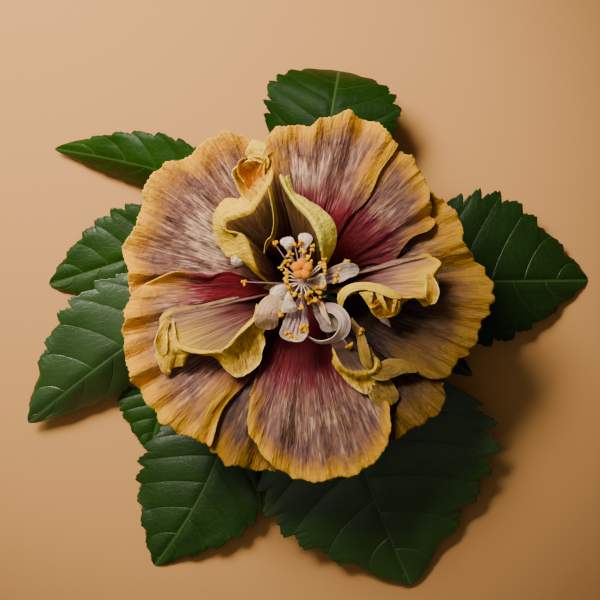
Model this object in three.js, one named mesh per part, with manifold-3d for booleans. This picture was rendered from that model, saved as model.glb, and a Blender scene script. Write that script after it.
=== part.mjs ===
// A double hibiscus bloom, cut with a short twig and its nine nearest leaves, lying face up.
// Millimetres, +Z up. The bloom's axis is the Z axis until the last lines centre the whole spray.

import * as THREE from 'three';
import { mergeVertices } from 'three/addons/utils/BufferGeometryUtils.js';
import Module from 'manifold-3d';

const wasm = await Module();
wasm.setup();

// Driving dimensions.
const CLEARANCE = 0.3; // air between neighbours that touch in life
const RECEPTACLE_RADIUS = 5.2;
const RECEPTACLE_TOP = 43;
const CLAW_RADIUS = 5.7; // where every outer petal starts
const CLAW_HEIGHT = 32;
const BLOOM_RISE = 28; // how much higher the outer petals run than their claws
const RISE_LENGTH = 22; // radius over which most of that rise happens
const PETAL_THICKNESS = 0.9;
const PETAL_SPACING = 2.4; // between the middle surfaces of two petals that overlap
const INNER_CLAW_RADIUS = 6;
const INNER_CLAW_HEIGHT = 42;
const LEAF_THICKNESS = 1.2;
const PETIOLE_RADIUS = 1.3;
const TWIG_RADIUS = 3.2;
const TWIG_TIP_RADIUS = 2.2;

// ---------------------------------------------------------------------------------------------
// Small tools

const radians = THREE.MathUtils.degToRad;

function smoothStep(low, high, x) {
  return THREE.MathUtils.smoothstep(x, low, high);
}

// A value read along an evenly spaced list by a Catmull-Rom curve, position running from 0 to 1.
function along(list, position) {
  const last = list.length - 1;
  const place = THREE.MathUtils.clamp(position, 0, 1) * last;
  const index = Math.min(Math.floor(place), last - 1);
  const f = place - index;
  const [a, b, c, d] = [-1, 0, 1, 2].map((step) => list[THREE.MathUtils.clamp(index + step, 0, last)]);
  return b + 0.5 * f * (c - a + f * (2 * a - 5 * b + 4 * c - d + f * (3 * (b - c) + d - a)));
}

// A closed sheet: place(u, v) gives its middle surface, and both faces are set off from it straight
// up and down, or along the surface's own normal when that is asked.
function sheet(columns, rows, place, thickness, alongNormal = false) {
  const middle = [];
  for (let i = 0; i <= columns; i++) {
    middle.push([]);
    for (let j = 0; j <= rows; j++) middle[i].push(place(i / columns, j / rows));
  }
  const normalAt = (i, j) => {
    const du = middle[Math.min(i + 1, columns)][j].clone().sub(middle[Math.max(i - 1, 0)][j]);
    const dv = middle[i][Math.min(j + 1, rows)].clone().sub(middle[i][Math.max(j - 1, 0)]);
    return du.cross(dv).normalize();
  };
  const facesUp = normalAt(columns >> 1, rows >> 1).z > 0;
  const positions = [];
  const index = [];
  const id = (side, i, j) => (side * (columns + 1) + i) * (rows + 1) + j;
  for (const side of [1, -1]) {
    for (let i = 0; i <= columns; i++) {
      for (let j = 0; j <= rows; j++) {
        const up = alongNormal ? normalAt(i, j) : new THREE.Vector3(0, 0, facesUp ? 1 : -1);
        up.multiplyScalar((side * thickness) / 2);
        positions.push(...middle[i][j].clone().add(up).toArray());
      }
    }
  }
  const quad = (a, b, c, d) => index.push(a, b, c, a, c, d);
  for (let i = 0; i < columns; i++) {
    for (let j = 0; j < rows; j++) {
      quad(id(0, i, j), id(0, i + 1, j), id(0, i + 1, j + 1), id(0, i, j + 1));
      quad(id(1, i, j), id(1, i, j + 1), id(1, i + 1, j + 1), id(1, i + 1, j));
    }
    quad(id(0, i, 0), id(1, i, 0), id(1, i + 1, 0), id(0, i + 1, 0));
    quad(id(0, i, rows), id(0, i + 1, rows), id(1, i + 1, rows), id(1, i, rows));
  }
  for (let j = 0; j < rows; j++) {
    quad(id(0, 0, j), id(0, 0, j + 1), id(1, 0, j + 1), id(1, 0, j));
    quad(id(0, columns, j), id(1, columns, j), id(1, columns, j + 1), id(0, columns, j + 1));
  }
  const geometry = new THREE.BufferGeometry();
  geometry.setAttribute('position', new THREE.Float32BufferAttribute(positions, 3));
  geometry.setIndex(index);
  return geometry;
}

// A closed round limb along a curve through the given points, its radius running evenly from the
// first to the last.
function limb(points, firstRadius, lastRadius, sides, steps) {
  const curve = new THREE.CatmullRomCurve3(points.map((p) => new THREE.Vector3(...p)), false, 'centripetal');
  const frames = curve.computeFrenetFrames(steps, false);
  const positions = [];
  const index = [];
  for (let i = 0; i <= steps; i++) {
    const centre = curve.getPointAt(i / steps);
    const radius = THREE.MathUtils.lerp(firstRadius, lastRadius, i / steps);
    for (let k = 0; k < sides; k++) {
      const turn = (2 * Math.PI * k) / sides;
      const rim = frames.normals[i].clone().multiplyScalar(radius * Math.cos(turn));
      rim.addScaledVector(frames.binormals[i], radius * Math.sin(turn));
      positions.push(...rim.add(centre).toArray());
    }
  }
  const id = (i, k) => i * sides + (k % sides);
  for (let k = 0; k < sides; k++) {
    for (let i = 0; i < steps; i++) {
      index.push(id(i, k), id(i, k + 1), id(i + 1, k + 1), id(i, k), id(i + 1, k + 1), id(i + 1, k));
    }
    if (k > 1) {
      index.push(id(0, 0), id(0, k), id(0, k - 1));
      index.push(id(steps, 0), id(steps, k - 1), id(steps, k));
    }
  }
  const geometry = new THREE.BufferGeometry();
  geometry.setAttribute('position', new THREE.Float32BufferAttribute(positions, 3));
  geometry.setIndex(index);
  return geometry;
}

function toSolid(geometry) {
  const bare = geometry.clone();
  bare.deleteAttribute('normal');
  bare.deleteAttribute('uv');
  const merged = mergeVertices(bare, 1e-4);
  const vertProperties = Float32Array.from(merged.attributes.position.array);
  const triVerts = Uint32Array.from(merged.index.array);
  return new wasm.Manifold(new wasm.Mesh({ numProp: 3, vertProperties, triVerts }));
}

function toGeometry(solid) {
  const mesh = solid.getMesh();
  const geometry = new THREE.BufferGeometry();
  geometry.setAttribute('position', new THREE.Float32BufferAttribute(mesh.vertProperties, 3));
  geometry.setIndex([...mesh.triVerts]);
  return geometry;
}

const spray = new THREE.Group();

function add(name, geometry, color, roughness) {
  const mesh = new THREE.Mesh(geometry, new THREE.MeshStandardMaterial({ color, roughness, metalness: 0 }));
  mesh.name = name;
  spray.add(mesh);
}

// ---------------------------------------------------------------------------------------------
// Outer petals: eight broad fans that overlap in a shallow bowl. Each is a height above the
// ground over a place told by its angle and radius. A petal with a higher level lies on the ones
// with lower levels. rim holds the radii of its margin, evenly spaced from its clockwise side to
// the other, and spread is half the angle between those sides.

const OUTER_PETALS = [
  { name: 'petal_upper_left', azimuth: 149.5, spread: 46.5, level: 0, ruffle: 3.2, waves: 2.5, phase: 0.2,
    rim: [55, 71, 78.5, 80, 79, 84, 85.5, 82, 81, 84, 80, 78.8, 74, 66] },
  { name: 'petal_low_right', azimuth: -44, spread: 26, level: 0, ruffle: 2.2, waves: 1.5, phase: 0.6,
    rim: [76, 77, 79.6, 79.6, 81, 82.3, 76.5, 74.7, 72, 68] },
  { name: 'petal_low_left', azimuth: 240, spread: 28, level: 0, ruffle: 2.5, waves: 2, phase: 0.1,
    rim: [76, 82, 83, 82.5, 84.6, 86, 84.8, 83.2, 82] },
  { name: 'petal_right', azimuth: 2, spread: 42, level: 1, ruffle: 3.2, waves: 3, phase: 0.4,
    rim: [58, 74, 76, 80.5, 80.5, 84, 83.7, 78, 74, 76, 74.7, 71, 68] },
  { name: 'petal_left', azimuth: 204, spread: 34, level: 1, ruffle: 3, waves: 2.5, phase: 0.7,
    rim: [46, 70, 78.7, 82.6, 85, 87.3, 87.8, 87.3, 87.8, 84.6, 82.8] },
  { name: 'petal_upper_right', azimuth: 41.5, spread: 20.5, level: 2, ruffle: 2.6, waves: 1.5, phase: 0.3,
    rim: [50, 63, 66.6, 69, 72.5, 74, 75.5, 74, 72] },
  { name: 'petal_bottom', azimuth: -82.5, spread: 36.5, level: 2, ruffle: 3, waves: 3, phase: 0,
    rim: [54, 70, 80, 86, 86.5, 86, 81, 68, 53] },
  { name: 'petal_top', azimuth: 81.5, spread: 24.5, level: 3, ruffle: 3, waves: 2, phase: 0.5,
    rim: [76, 80, 80, 81, 78, 73, 73, 72.5, 67] },
];
const CLAW_SPREAD = 17; // half angle of every claw
const CLAW_END = 12; // radius where the claw starts to widen
const BLADE_START = 28; // radius where the blade has its full spread
const SIDE_DROP = 2.2; // how far a petal's sides fall below its middle
const FADE = 9; // a petal's draping over a lower one fades out this far outside its outline

// The height of the bowl that the outer petals form, before they lie on each other.
function bowlHeight(radius) {
  return CLAW_HEIGHT + BLOOM_RISE * (1 - Math.exp((CLAW_RADIUS - radius) / RISE_LENGTH));
}

// Half the angle a petal fills at a radius.
function spreadAt(petal, radius) {
  return THREE.MathUtils.lerp(CLAW_SPREAD, petal.spread, smoothStep(CLAW_END, BLADE_START, radius));
}

// The petal's own height, before it lies on its neighbours: t runs over its width from -1 to 1.
function ownHeight(petal, t, radius) {
  const lift = petal.level * PETAL_SPACING * smoothStep(CLAW_RADIUS, 2.5 * CLAW_RADIUS, radius);
  const reach = radius / along(petal.rim, (t + 1) / 2);
  const wave = 0.5 - 0.5 * Math.cos(Math.PI * petal.waves * (t + 1) + 2 * Math.PI * petal.phase);
  return bowlHeight(radius) + lift + petal.ruffle * wave * reach ** 3 - SIDE_DROP * t * t * reach;
}

// The petal's height at an angle and radius: it drapes over every lower petal beneath it.
function petalHeight(petal, angle, radius) {
  const across = (angle - petal.azimuth) / spreadAt(petal, radius);
  let height = ownHeight(petal, THREE.MathUtils.clamp(across, -1, 1), radius);
  for (const lower of OUTER_PETALS) {
    if (lower.level >= petal.level) continue;
    const turned = THREE.MathUtils.euclideanModulo(angle - lower.azimuth + 180, 360) - 180;
    const t = turned / spreadAt(lower, radius);
    const edge = THREE.MathUtils.clamp(t, -1, 1);
    const sideways = Math.max(0, Math.abs(t) - 1) * radians(spreadAt(lower, radius)) * radius;
    const beyond = Math.max(0, radius - along(lower.rim, (edge + 1) / 2));
    const outside = Math.hypot(sideways, beyond);
    if (outside >= FADE) continue;
    const spacing = PETAL_SPACING * smoothStep(CLAW_RADIUS, 2.5 * CLAW_RADIUS, radius);
    const nearest = lower.azimuth + edge * spreadAt(lower, radius);
    const resting = petalHeight(lower, nearest, radius - beyond) + spacing;
    const hold = 1 - smoothStep(FADE / 6, FADE, outside);
    height = Math.max(height, THREE.MathUtils.lerp(height, resting, hold));
  }
  return height;
}

function outerPetal(petal) {
  const place = (u, v) => {
    const t = 2 * u - 1;
    const radius = THREE.MathUtils.lerp(CLAW_RADIUS, along(petal.rim, u), v ** 1.3);
    const angle = petal.azimuth + t * spreadAt(petal, radius);
    const height = petalHeight(petal, angle, radius);
    return new THREE.Vector3(radius * Math.cos(radians(angle)), radius * Math.sin(radians(angle)), height);
  };
  return sheet(petal.rim.length + 4, 7, place, PETAL_THICKNESS);
}

for (const petal of OUTER_PETALS) add(petal.name, outerPetal(petal), 0xb07a50, 0.75);

// ---------------------------------------------------------------------------------------------
// Inner petals: five smaller petals stand up from the receptacle inside the others, and their
// margins roll outwards in deep ruffles. claw is the range of angles of the foot, ribs run from
// one side of the petal to the other, and each rib is the crest where the margin turns over, the
// margin's edge (both x, y, z), and how deep the surface dips between them.

const INNER_PETALS = [
  { name: 'inner_petal_upper_left', claw: [172, 112], bulge: 0.62,
    ribs: [
      [-15, 2, 58, -16, 2, 57], [-21, 8, 72, -25, 9, 67], [-24, 16, 77, -34, 14, 69],
      [-27, 23, 80, -39, 20, 69], [-34, 25, 81, -41, 27, 70], [-35, 29, 81, -40, 34, 71],
      [-30, 31, 83, -36, 39, 73], [-24, 33, 84, -29, 40, 76], [-21, 37, 84, -31, 47, 81, 6],
      [-18, 42, 84, -32, 52, 82, 11], [-15, 47, 84, -25, 56, 83, 12], [-14, 52, 83, -17, 58, 82, 6],
    ] },
  { name: 'inner_petal_upper_right', claw: [98, 44], bulge: 0.62,
    ribs: [
      [-11, 48, 83, -7, 50, 80], [-8, 42, 84, -5, 43, 80], [-4, 36, 85, 0, 39, 81],
      [1, 31, 86, 6, 36, 80], [4, 26, 86, 12, 30, 79], [6, 21, 85, 14, 23, 77],
      [7, 16, 81, 12, 15, 75], [8, 11, 74, 10, 11, 71],
    ] },
  { name: 'inner_petal_right', claw: [-36, 22], bulge: 0.8,
    ribs: [
      [14, -2, 70, 15, -9, 64], [20, 1, 76, 19, -4, 69], [27, 2, 79, 24, -2, 71], [33, 1, 79, 30, -11, 67],
      [36, -1, 79, 34, -13, 66], [39, -2, 78, 41, -12, 67], [42, -4, 77, 44, -6, 71],
      [47, -4, 77, 49, -5, 71], [51, -4, 77, 56, -7, 69], [53, 2, 77, 59, 0, 69], [56, 8, 77, 59, 6, 71],
      [58, 11, 76, 60, 10, 73], [53, 13, 75, 55, 14, 73], [42, 11, 74, 43, 13, 72],
      [30, 8, 69, 30, 9, 67], [20, 4, 61, 20, 5, 60],
    ] },
  { name: 'inner_petal_low_left', claw: [236, 188], bulge: 0.8,
    ribs: [
      [-19, -9, 60, -18, -19, 63], [-23, -13, 70, -18, -25, 65], [-26, -16, 71, -20, -33, 64],
      [-29, -19, 71, -25, -38, 64], [-33, -24, 70, -31, -40, 64], [-36, -27, 70, -37, -35, 65],
      [-41, -28, 71, -42, -30, 67], [-47, -28, 72, -49, -30, 69], [-53, -26, 73, -56, -33, 66],
      [-57, -24, 73, -61, -39, 64], [-61, -22, 73, -67, -30, 65], [-62, -18, 73, -66, -22, 68],
      [-61, -14, 72, -64, -12, 70], [-55, -11, 71, -57, -9, 69], [-44, -9, 67, -45, -7, 66],
      [-29, -5, 60, -30, -4, 59],
    ] },
  { name: 'inner_petal_low_right', claw: [-74, -46], bulge: 0.8,
    ribs: [
      [13, -25, 60, 12, -28, 61], [17, -29, 69, 14, -33, 66], [19, -33, 71, 17, -39, 66],
      [21, -36, 71, 22, -44, 66], [26, -35, 71, 27, -47, 66], [29, -36, 71, 31, -44, 66],
      [32, -37, 70, 36, -47, 65], [35, -37, 71, 40, -44, 65], [38, -35, 70, 41, -34, 67],
      [33, -30, 68, 35, -28, 66], [26, -24, 62, 27, -22, 61],
    ] },
];
const MARGIN_ROUNDING = -1; // a dip below zero: the margin bulges a little as it rolls over

// One point of an inner petal: u runs over its ribs and v from the foot over the crest to the edge.
function innerPoint(petal, u, v) {
  const rib = [0, 1, 2, 3, 4, 5].map((k) => along(petal.ribs.map((row) => row[k]), u));
  const dip = along(petal.ribs.map((row) => row[6] ?? MARGIN_ROUNDING), u);
  const clawAngle = radians(THREE.MathUtils.lerp(petal.claw[0], petal.claw[1], u));
  const footX = INNER_CLAW_RADIUS * Math.cos(clawAngle);
  const footY = INNER_CLAW_RADIUS * Math.sin(clawAngle);
  const foot = [footX, footY, INNER_CLAW_HEIGHT];
  const crest = rib.slice(0, 3);
  const edge = rib.slice(3);
  const waist = foot.map((value, k) => THREE.MathUtils.lerp(value, crest[k], k === 2 ? petal.bulge : 0.5));
  const middle = crest.map((value, k) => (value + edge[k]) / 2 - (k === 2 ? dip : 0));
  const stations = [foot, waist, crest, middle, edge];
  return new THREE.Vector3(...[0, 1, 2].map((k) => along(stations.map((station) => station[k]), v)));
}

function innerPetal(petal) {
  const columns = Math.round(petal.ribs.length * 1.15);
  return sheet(columns, 8, (u, v) => innerPoint(petal, u, v), PETAL_THICKNESS, true);
}

for (const petal of INNER_PETALS) add(petal.name, innerPetal(petal), 0xd9b23a, 0.7);

// ---------------------------------------------------------------------------------------------
// The staminal column's axis: it stands on the receptacle and leans as it rises.

const COLUMN_TOP = 86;
const COLUMN_RADIUS = 2.2;
const COLUMN_TIP_RADIUS = 1.3;
const COLUMN_LEAN = [-1.4, 3]; // how far its top leans off the axis
const NECK = 76; // where the styles leave the tube and bend further over
const NECK_BEND = 5;

function columnAxis(height) {
  const lean = smoothStep(RECEPTACLE_TOP, COLUMN_TOP, height);
  const bend = smoothStep(NECK, COLUMN_TOP, height);
  return [COLUMN_LEAN[0] * lean, COLUMN_LEAN[1] * lean + NECK_BEND * bend, height];
}

// ---------------------------------------------------------------------------------------------
// Petaloids: stamens that have turned into small spoon-shaped petals round the column. foot is how
// far from the axis a spoon leaves the column, reach and height say where it ends, width is its
// widest, and curl lifts or drops its end.

const PETALOIDS = [
  { name: 'petaloid_front_left', azimuth: 230, foot: 4.4, reach: 12.5, height: 80, width: 8, curl: -5 },
  { name: 'petaloid_front', azimuth: 254, foot: 3, reach: 24, height: 77, width: 12, curl: 2 },
  { name: 'petaloid_front_right', azimuth: -50, foot: 3, reach: 25, height: 78, width: 14, curl: -7 },
  { name: 'petaloid_right', azimuth: 17, foot: 3, reach: 25, height: 82, width: 8, curl: -5 },
  { name: 'petaloid_back_left', azimuth: 113, foot: 3, reach: 23, height: 79, width: 6, curl: -2 },
  { name: 'petaloid_back', azimuth: 90, foot: 4.2, reach: 19, height: 77, width: 6, curl: -2 },
  { name: 'petaloid_left', azimuth: 205, foot: 3, reach: 23, height: 74, width: 12, curl: -4 },
];
const PETALOID_FOOT_HEIGHT = 48;
const PETALOID_FOOT_HALF = 0.9; // half width at the foot
const PETALOID_BLADE = [0.35, 0.8]; // shares of its length between which a foot widens to a blade
const PETALOID_TAPER = 0.55; // how much of its width is lost towards the end
const PETALOID_CUP = 1.5; // how far its edges stand up
const OUTWARD_CURVE = 1.6; // it runs up first and outwards later
const UPWARD_CURVE = 0.75;

function petaloid({ azimuth, foot, reach, height, width, curl }) {
  const outward = new THREE.Vector3(Math.cos(radians(azimuth)), Math.sin(radians(azimuth)), 0);
  const sideways = new THREE.Vector3(-outward.y, outward.x, 0);
  const place = (u, v) => {
    const t = 2 * u - 1;
    const blade = smoothStep(...PETALOID_BLADE, v);
    const taper = 1 - PETALOID_TAPER * smoothStep(PETALOID_BLADE[1], 1, v);
    const half = THREE.MathUtils.lerp(PETALOID_FOOT_HALF, width / 2, blade) * taper;
    const radius = THREE.MathUtils.lerp(foot, reach, v ** OUTWARD_CURVE);
    const climb = THREE.MathUtils.lerp(PETALOID_FOOT_HEIGHT, height, v ** UPWARD_CURVE);
    const z = climb + curl * v ** 4 + PETALOID_CUP * t * t * blade;
    const [leanX, leanY] = columnAxis(z);
    const point = new THREE.Vector3(leanX, leanY, 0).multiplyScalar(1 - v);
    return point.addScaledVector(outward, radius).addScaledVector(sideways, half * t).setZ(z);
  };
  return sheet(4, 6, place, PETAL_THICKNESS, true);
}

for (const spoon of PETALOIDS) add(spoon.name, petaloid(spoon), 0xe8d0c0, 0.7);

// ---------------------------------------------------------------------------------------------
// Staminal column: the tube of joined filaments stands on the receptacle. Stamens leave it all
// round, each a thin filament with a round anther, and the five-lobed stigma tops it.

const STAMENS = 24;
const LOWEST_STAMEN = 64;
const STAMEN_RADIUS = 0.45;
const STAMEN_REACH = [12, 6.5]; // of the lowest and of the highest, from the column's axis
const STAMEN_RISE = [9, 1];
const UNEVEN_REACH = 1.2;
const ANTHER_RADIUS = 1.3;
const GOLDEN_ANGLE = 137.5;
const PETALOID_SHADE = 16; // a low stamen this near a petaloid's angle has turned into it
const CROWDED_SIDE = 60; // the angle at which an inner petal presses the stamens in
const CROWDING = 0.25; // of their reach
const STYLE_LENGTH = 3;
const STIGMA_LOBES = 5;
const STIGMA_LOBE_RADIUS = 2.1;
const STIGMA_RING = 2.9; // radius of the ring on which the lobes' centres lie

function stamen(share, turn) {
  const squeezed = 1 - CROWDING * Math.max(0, Math.cos(turn - radians(CROWDED_SIDE)));
  const [x, y, z] = columnAxis(THREE.MathUtils.lerp(LOWEST_STAMEN, COLUMN_TOP - 2, share));
  const reach = squeezed * (THREE.MathUtils.lerp(...STAMEN_REACH, share) + UNEVEN_REACH * Math.sin(7 * turn));
  const rise = THREE.MathUtils.lerp(...STAMEN_RISE, share);
  const tip = [x + reach * Math.cos(turn), y + reach * Math.sin(turn), z + rise];
  const elbow = [x + 0.5 * reach * Math.cos(turn), y + 0.5 * reach * Math.sin(turn), z + 0.7 * rise];
  const anther = new THREE.OctahedronGeometry(ANTHER_RADIUS, 0).translate(...tip);
  return toSolid(limb([[x, y, z], elbow, tip], STAMEN_RADIUS, STAMEN_RADIUS, 3, 2)).add(toSolid(anther));
}

function staminalColumn() {
  const levels = [RECEPTACLE_TOP + CLEARANCE, 54, 66, NECK, 81, 84, COLUMN_TOP - CLEARANCE];
  let solid = toSolid(limb(levels.map(columnAxis), COLUMN_RADIUS, COLUMN_TIP_RADIUS, 8, 8));
  for (let k = 0; k < STAMENS; k++) {
    const share = k / (STAMENS - 1);
    const meetsPetaloid = PETALOIDS.some((spoon) => {
      return Math.cos(radians(GOLDEN_ANGLE * k - spoon.azimuth)) > Math.cos(radians(PETALOID_SHADE));
    });
    if (share < 0.5 && meetsPetaloid) continue;
    solid = solid.add(stamen(share, radians(GOLDEN_ANGLE * k)));
  }
  return toGeometry(solid);
}

function stigma() {
  const [x, y, z] = columnAxis(COLUMN_TOP);
  const foot = z + CLEARANCE;
  const styles = new THREE.CylinderGeometry(STIGMA_LOBE_RADIUS, COLUMN_TIP_RADIUS, STYLE_LENGTH, 10);
  let solid = toSolid(styles.rotateX(Math.PI / 2).translate(x, y, foot + STYLE_LENGTH / 2));
  for (let k = 0; k < STIGMA_LOBES; k++) {
    const turn = (2 * Math.PI * k) / STIGMA_LOBES + 0.3;
    const lobe = new THREE.SphereGeometry(STIGMA_LOBE_RADIUS, 6, 4);
    lobe.translate(x + STIGMA_RING * Math.cos(turn), y + STIGMA_RING * Math.sin(turn), foot + 3.4);
    solid = solid.add(toSolid(lobe));
  }
  return toGeometry(solid);
}

add('staminal_column', staminalColumn(), 0xe8b81e, 0.6);
add('stigma', stigma(), 0xff8a1e, 0.55);

// ---------------------------------------------------------------------------------------------
// Calyx, pedicel and twig. The calyx is a green cup with the receptacle standing in it; the outer
// petals' claws lie between them. The pedicel is the curved flower stalk up from the twig.

const CALYX_FOOT = 22;
const CALYX_RIM = 13;
const CALYX_GAP = 1.4; // between the calyx's inside and the middle of the claws above it

function calyx() {
  const inside = [CALYX_RIM, 11, 9, 7, RECEPTACLE_RADIUS].map((radius) => {
    return new THREE.Vector2(radius, bowlHeight(radius) - CALYX_GAP);
  });
  const outline = [
    new THREE.Vector2(0, CALYX_FOOT), new THREE.Vector2(4.5, CALYX_FOOT + 0.6),
    new THREE.Vector2(8, CALYX_FOOT + 3.5), new THREE.Vector2(11, CALYX_FOOT + 9), ...inside,
    new THREE.Vector2(RECEPTACLE_RADIUS, RECEPTACLE_TOP), new THREE.Vector2(0, RECEPTACLE_TOP),
  ];
  return new THREE.LatheGeometry(outline, 20).rotateX(Math.PI / 2);
}

const TWIG_PATH = [[24, -92, 3.2], [17, -56, 3.1], [8, -24, 2.9], [1, 4, 2.6], [-7, 24, 2.3]];
const PEDICEL_PATH = [[-1, 11, 4], [0, 8, 9], [2, 2, 15], [0, 0, CALYX_FOOT]];

function twigSolid(extra) {
  return toSolid(limb(TWIG_PATH, TWIG_RADIUS + extra, TWIG_TIP_RADIUS + extra, 10, 10));
}

// The cut end is trimmed square, on an upright plane across the twig's first stretch.
const CUT_AWAY = 6;
function twig() {
  const start = new THREE.Vector3(...TWIG_PATH[0]);
  const heading = new THREE.Vector3(...TWIG_PATH[1]).sub(start).setZ(0).normalize();
  const block = new THREE.BoxGeometry(2 * CUT_AWAY, 4 * CUT_AWAY, 4 * CUT_AWAY);
  block.rotateZ(Math.atan2(heading.y, heading.x)).translate(start.x, start.y, start.z);
  const floor = new THREE.BoxGeometry(300, 300, 20).translate(0, 0, -10);
  return toGeometry(twigSolid(0).subtract(toSolid(block)).subtract(toSolid(floor)));
}

function pedicel() {
  const stalk = toSolid(limb(PEDICEL_PATH, 1.9, 2.3, 10, 8));
  const cup = toSolid(new THREE.CylinderGeometry(20, 20, 20, 12).rotateX(Math.PI / 2)
    .translate(0, 0, CALYX_FOOT - CLEARANCE + 10));
  return toGeometry(stalk.subtract(cup).subtract(twigSolid(CLEARANCE)));
}

add('calyx', calyx(), 0x6f8a3a, 0.7);
add('pedicel', pedicel(), 0x5f7a34, 0.7);
add('twig', twig(), 0x6b5a3c, 0.85);

// ---------------------------------------------------------------------------------------------
// Leaves: broad, toothed and pointed, each on its own petiole from the twig. foot and tip are the
// ends of the blade's midrib, widths are the blade's greatest half widths on its left and right
// (seen from the foot), lifts are the angles at which the two halves leave the midrib, arch is
// the midrib's bow upwards, sway its bow to the left, and curl how soon its fall begins. petiole is
// where the leaf's stalk leaves the twig.

const LEAVES = [
  { name: 'leaf_top', foot: [6, 43, 24], tip: [16, 103, 0.8], widths: [36, 33], lifts: [-20, -2],
    arch: 8, sway: 0, curl: 0.9, petiole: [-4, 17, 3] },
  { name: 'leaf_upper_left', foot: [-32, 44, 24], tip: [-118, 66, 5], widths: [18, 18], lifts: [-58, 12],
    arch: 6, sway: -2, curl: 0, petiole: [-2, 12, 3] },
  { name: 'leaf_mid_left', foot: [-47, 25, 18], tip: [-121, 2, 1.5], widths: [24, 26], lifts: [-12, 4],
    arch: 3, sway: 0, curl: 0, petiole: [0, 6, 3] },
  { name: 'leaf_left', foot: [-46, -2, 29], tip: [-130, -63, 9], widths: [26, 35], lifts: [-42, 6],
    arch: 6, sway: -2, curl: 0, petiole: [2, -1, 3] },
  { name: 'leaf_low_left', foot: [-64, -36, 8], tip: [-74, -77, 2], widths: [20, 22], lifts: [-8, -6],
    arch: 1, sway: 1, curl: 0, petiole: [5, -10, 3] },
  { name: 'leaf_lower_left', foot: [-33, -57, 18], tip: [-71, -131, 1], widths: [31, 36], lifts: [-4, -12],
    arch: 4, sway: 4, curl: 0, petiole: [13, -40, 3] },
  { name: 'leaf_bottom', foot: [13, -33, 26], tip: [50, -140, 3], widths: [68, 54], lifts: [-4, -4],
    arch: 7, sway: -3, curl: 0, petiole: [17, -56, 3] },
  { name: 'leaf_right', foot: [40, 3, 26], tip: [134, 4, 1], widths: [45, 33], lifts: [-5, -12],
    arch: 5, sway: 0, curl: 0, petiole: [6, -16, 3] },
  { name: 'leaf_low_right', foot: [52, -22, 20], tip: [79, -41, 8], widths: [7, 7], lifts: [-6, -6],
    arch: 1, sway: 0, curl: 0, petiole: [9, -26, 3] },
];
const TEETH = 8; // on each side
const TOOTH_DEPTH = 0.11; // of the half width
const FORWARD_SWEEP = 0.34; // how far the edge lies ahead of the midrib, of the half width

// Half width of a blade along its midrib, as a share of the greatest.
function bladeProfile(s) {
  return Math.max(0, Math.sin(Math.PI * s ** 0.72)) ** 0.68 * (1 - 0.2 * s ** 3);
}

// One point of a leaf: s runs from foot to tip and t from the left edge (-1) to the right (1).
function leafPoint(leaf, s, t) {
  const foot = new THREE.Vector3(...leaf.foot);
  const tip = new THREE.Vector3(...leaf.tip);
  const ahead = tip.clone().sub(foot).setZ(0).normalize();
  const left = new THREE.Vector3(-ahead.y, ahead.x, 0);
  const bow = Math.sin(Math.PI * s);
  const side = t < 0 ? 0 : 1;
  const tooth = 1 - TOOTH_DEPTH * Math.abs(t) ** 4 * (1 - ((s * TEETH) % 1)) * smoothStep(0.08, 0.3, s);
  const half = leaf.widths[side] * Math.max(bladeProfile(s) * tooth, 0.012);
  const lift = radians(leaf.lifts[side]);
  const out = Math.abs(t) * half;
  const fall = foot.z + (tip.z - foot.z) * s ** (1 + 2 * leaf.curl);
  const point = foot.lerp(tip, s + leaf.curl * s * (1 - s)).setZ(fall);
  point.addScaledVector(left, leaf.sway * bow - Math.sign(t) * out * Math.cos(lift));
  point.addScaledVector(ahead, FORWARD_SWEEP * out * (1 - s));
  point.z += leaf.arch * bow + out * Math.sin(lift);
  return point;
}

function leaf(row) {
  const cuts = [-1, -0.5, 0, 0.5, 1];
  const columns = 2 * TEETH;
  const place = (u, v) => leafPoint(row, sawPlace(u, columns), cuts[Math.round(v * (cuts.length - 1))]);
  let solid = toSolid(sheet(columns, cuts.length - 1, place, LEAF_THICKNESS));
  const foot = leafPoint(row, 0.04, 0);
  const start = new THREE.Vector3(...row.petiole);
  const knee = start.clone().lerp(foot, 0.5).setZ(Math.max(foot.z - 3, 8));
  const stalk = limb([start.toArray(), knee.toArray(), foot.toArray()], PETIOLE_RADIUS, PETIOLE_RADIUS, 6, 4);
  solid = solid.add(toSolid(stalk));
  return toGeometry(solid.subtract(twigSolid(CLEARANCE)));
}

// The blade's stations run in pairs: the end of one tooth and, just past it, the start of the next.
function sawPlace(u, columns) {
  const station = Math.round(u * columns);
  return Math.min(1, (Math.ceil(station / 2) + (station % 2 ? -0.02 : 0.02)) / TEETH);
}

for (const row of LEAVES) add(row.name, leaf(row), 0x2f5a18, 0.45);

// The spray stands on its lowest points, centred under its own box.
const box = new THREE.Box3().setFromObject(spray);
const centre = box.getCenter(new THREE.Vector3());
spray.position.set(-centre.x, -centre.y, -box.min.z);

export default spray;
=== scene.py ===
import math

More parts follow.
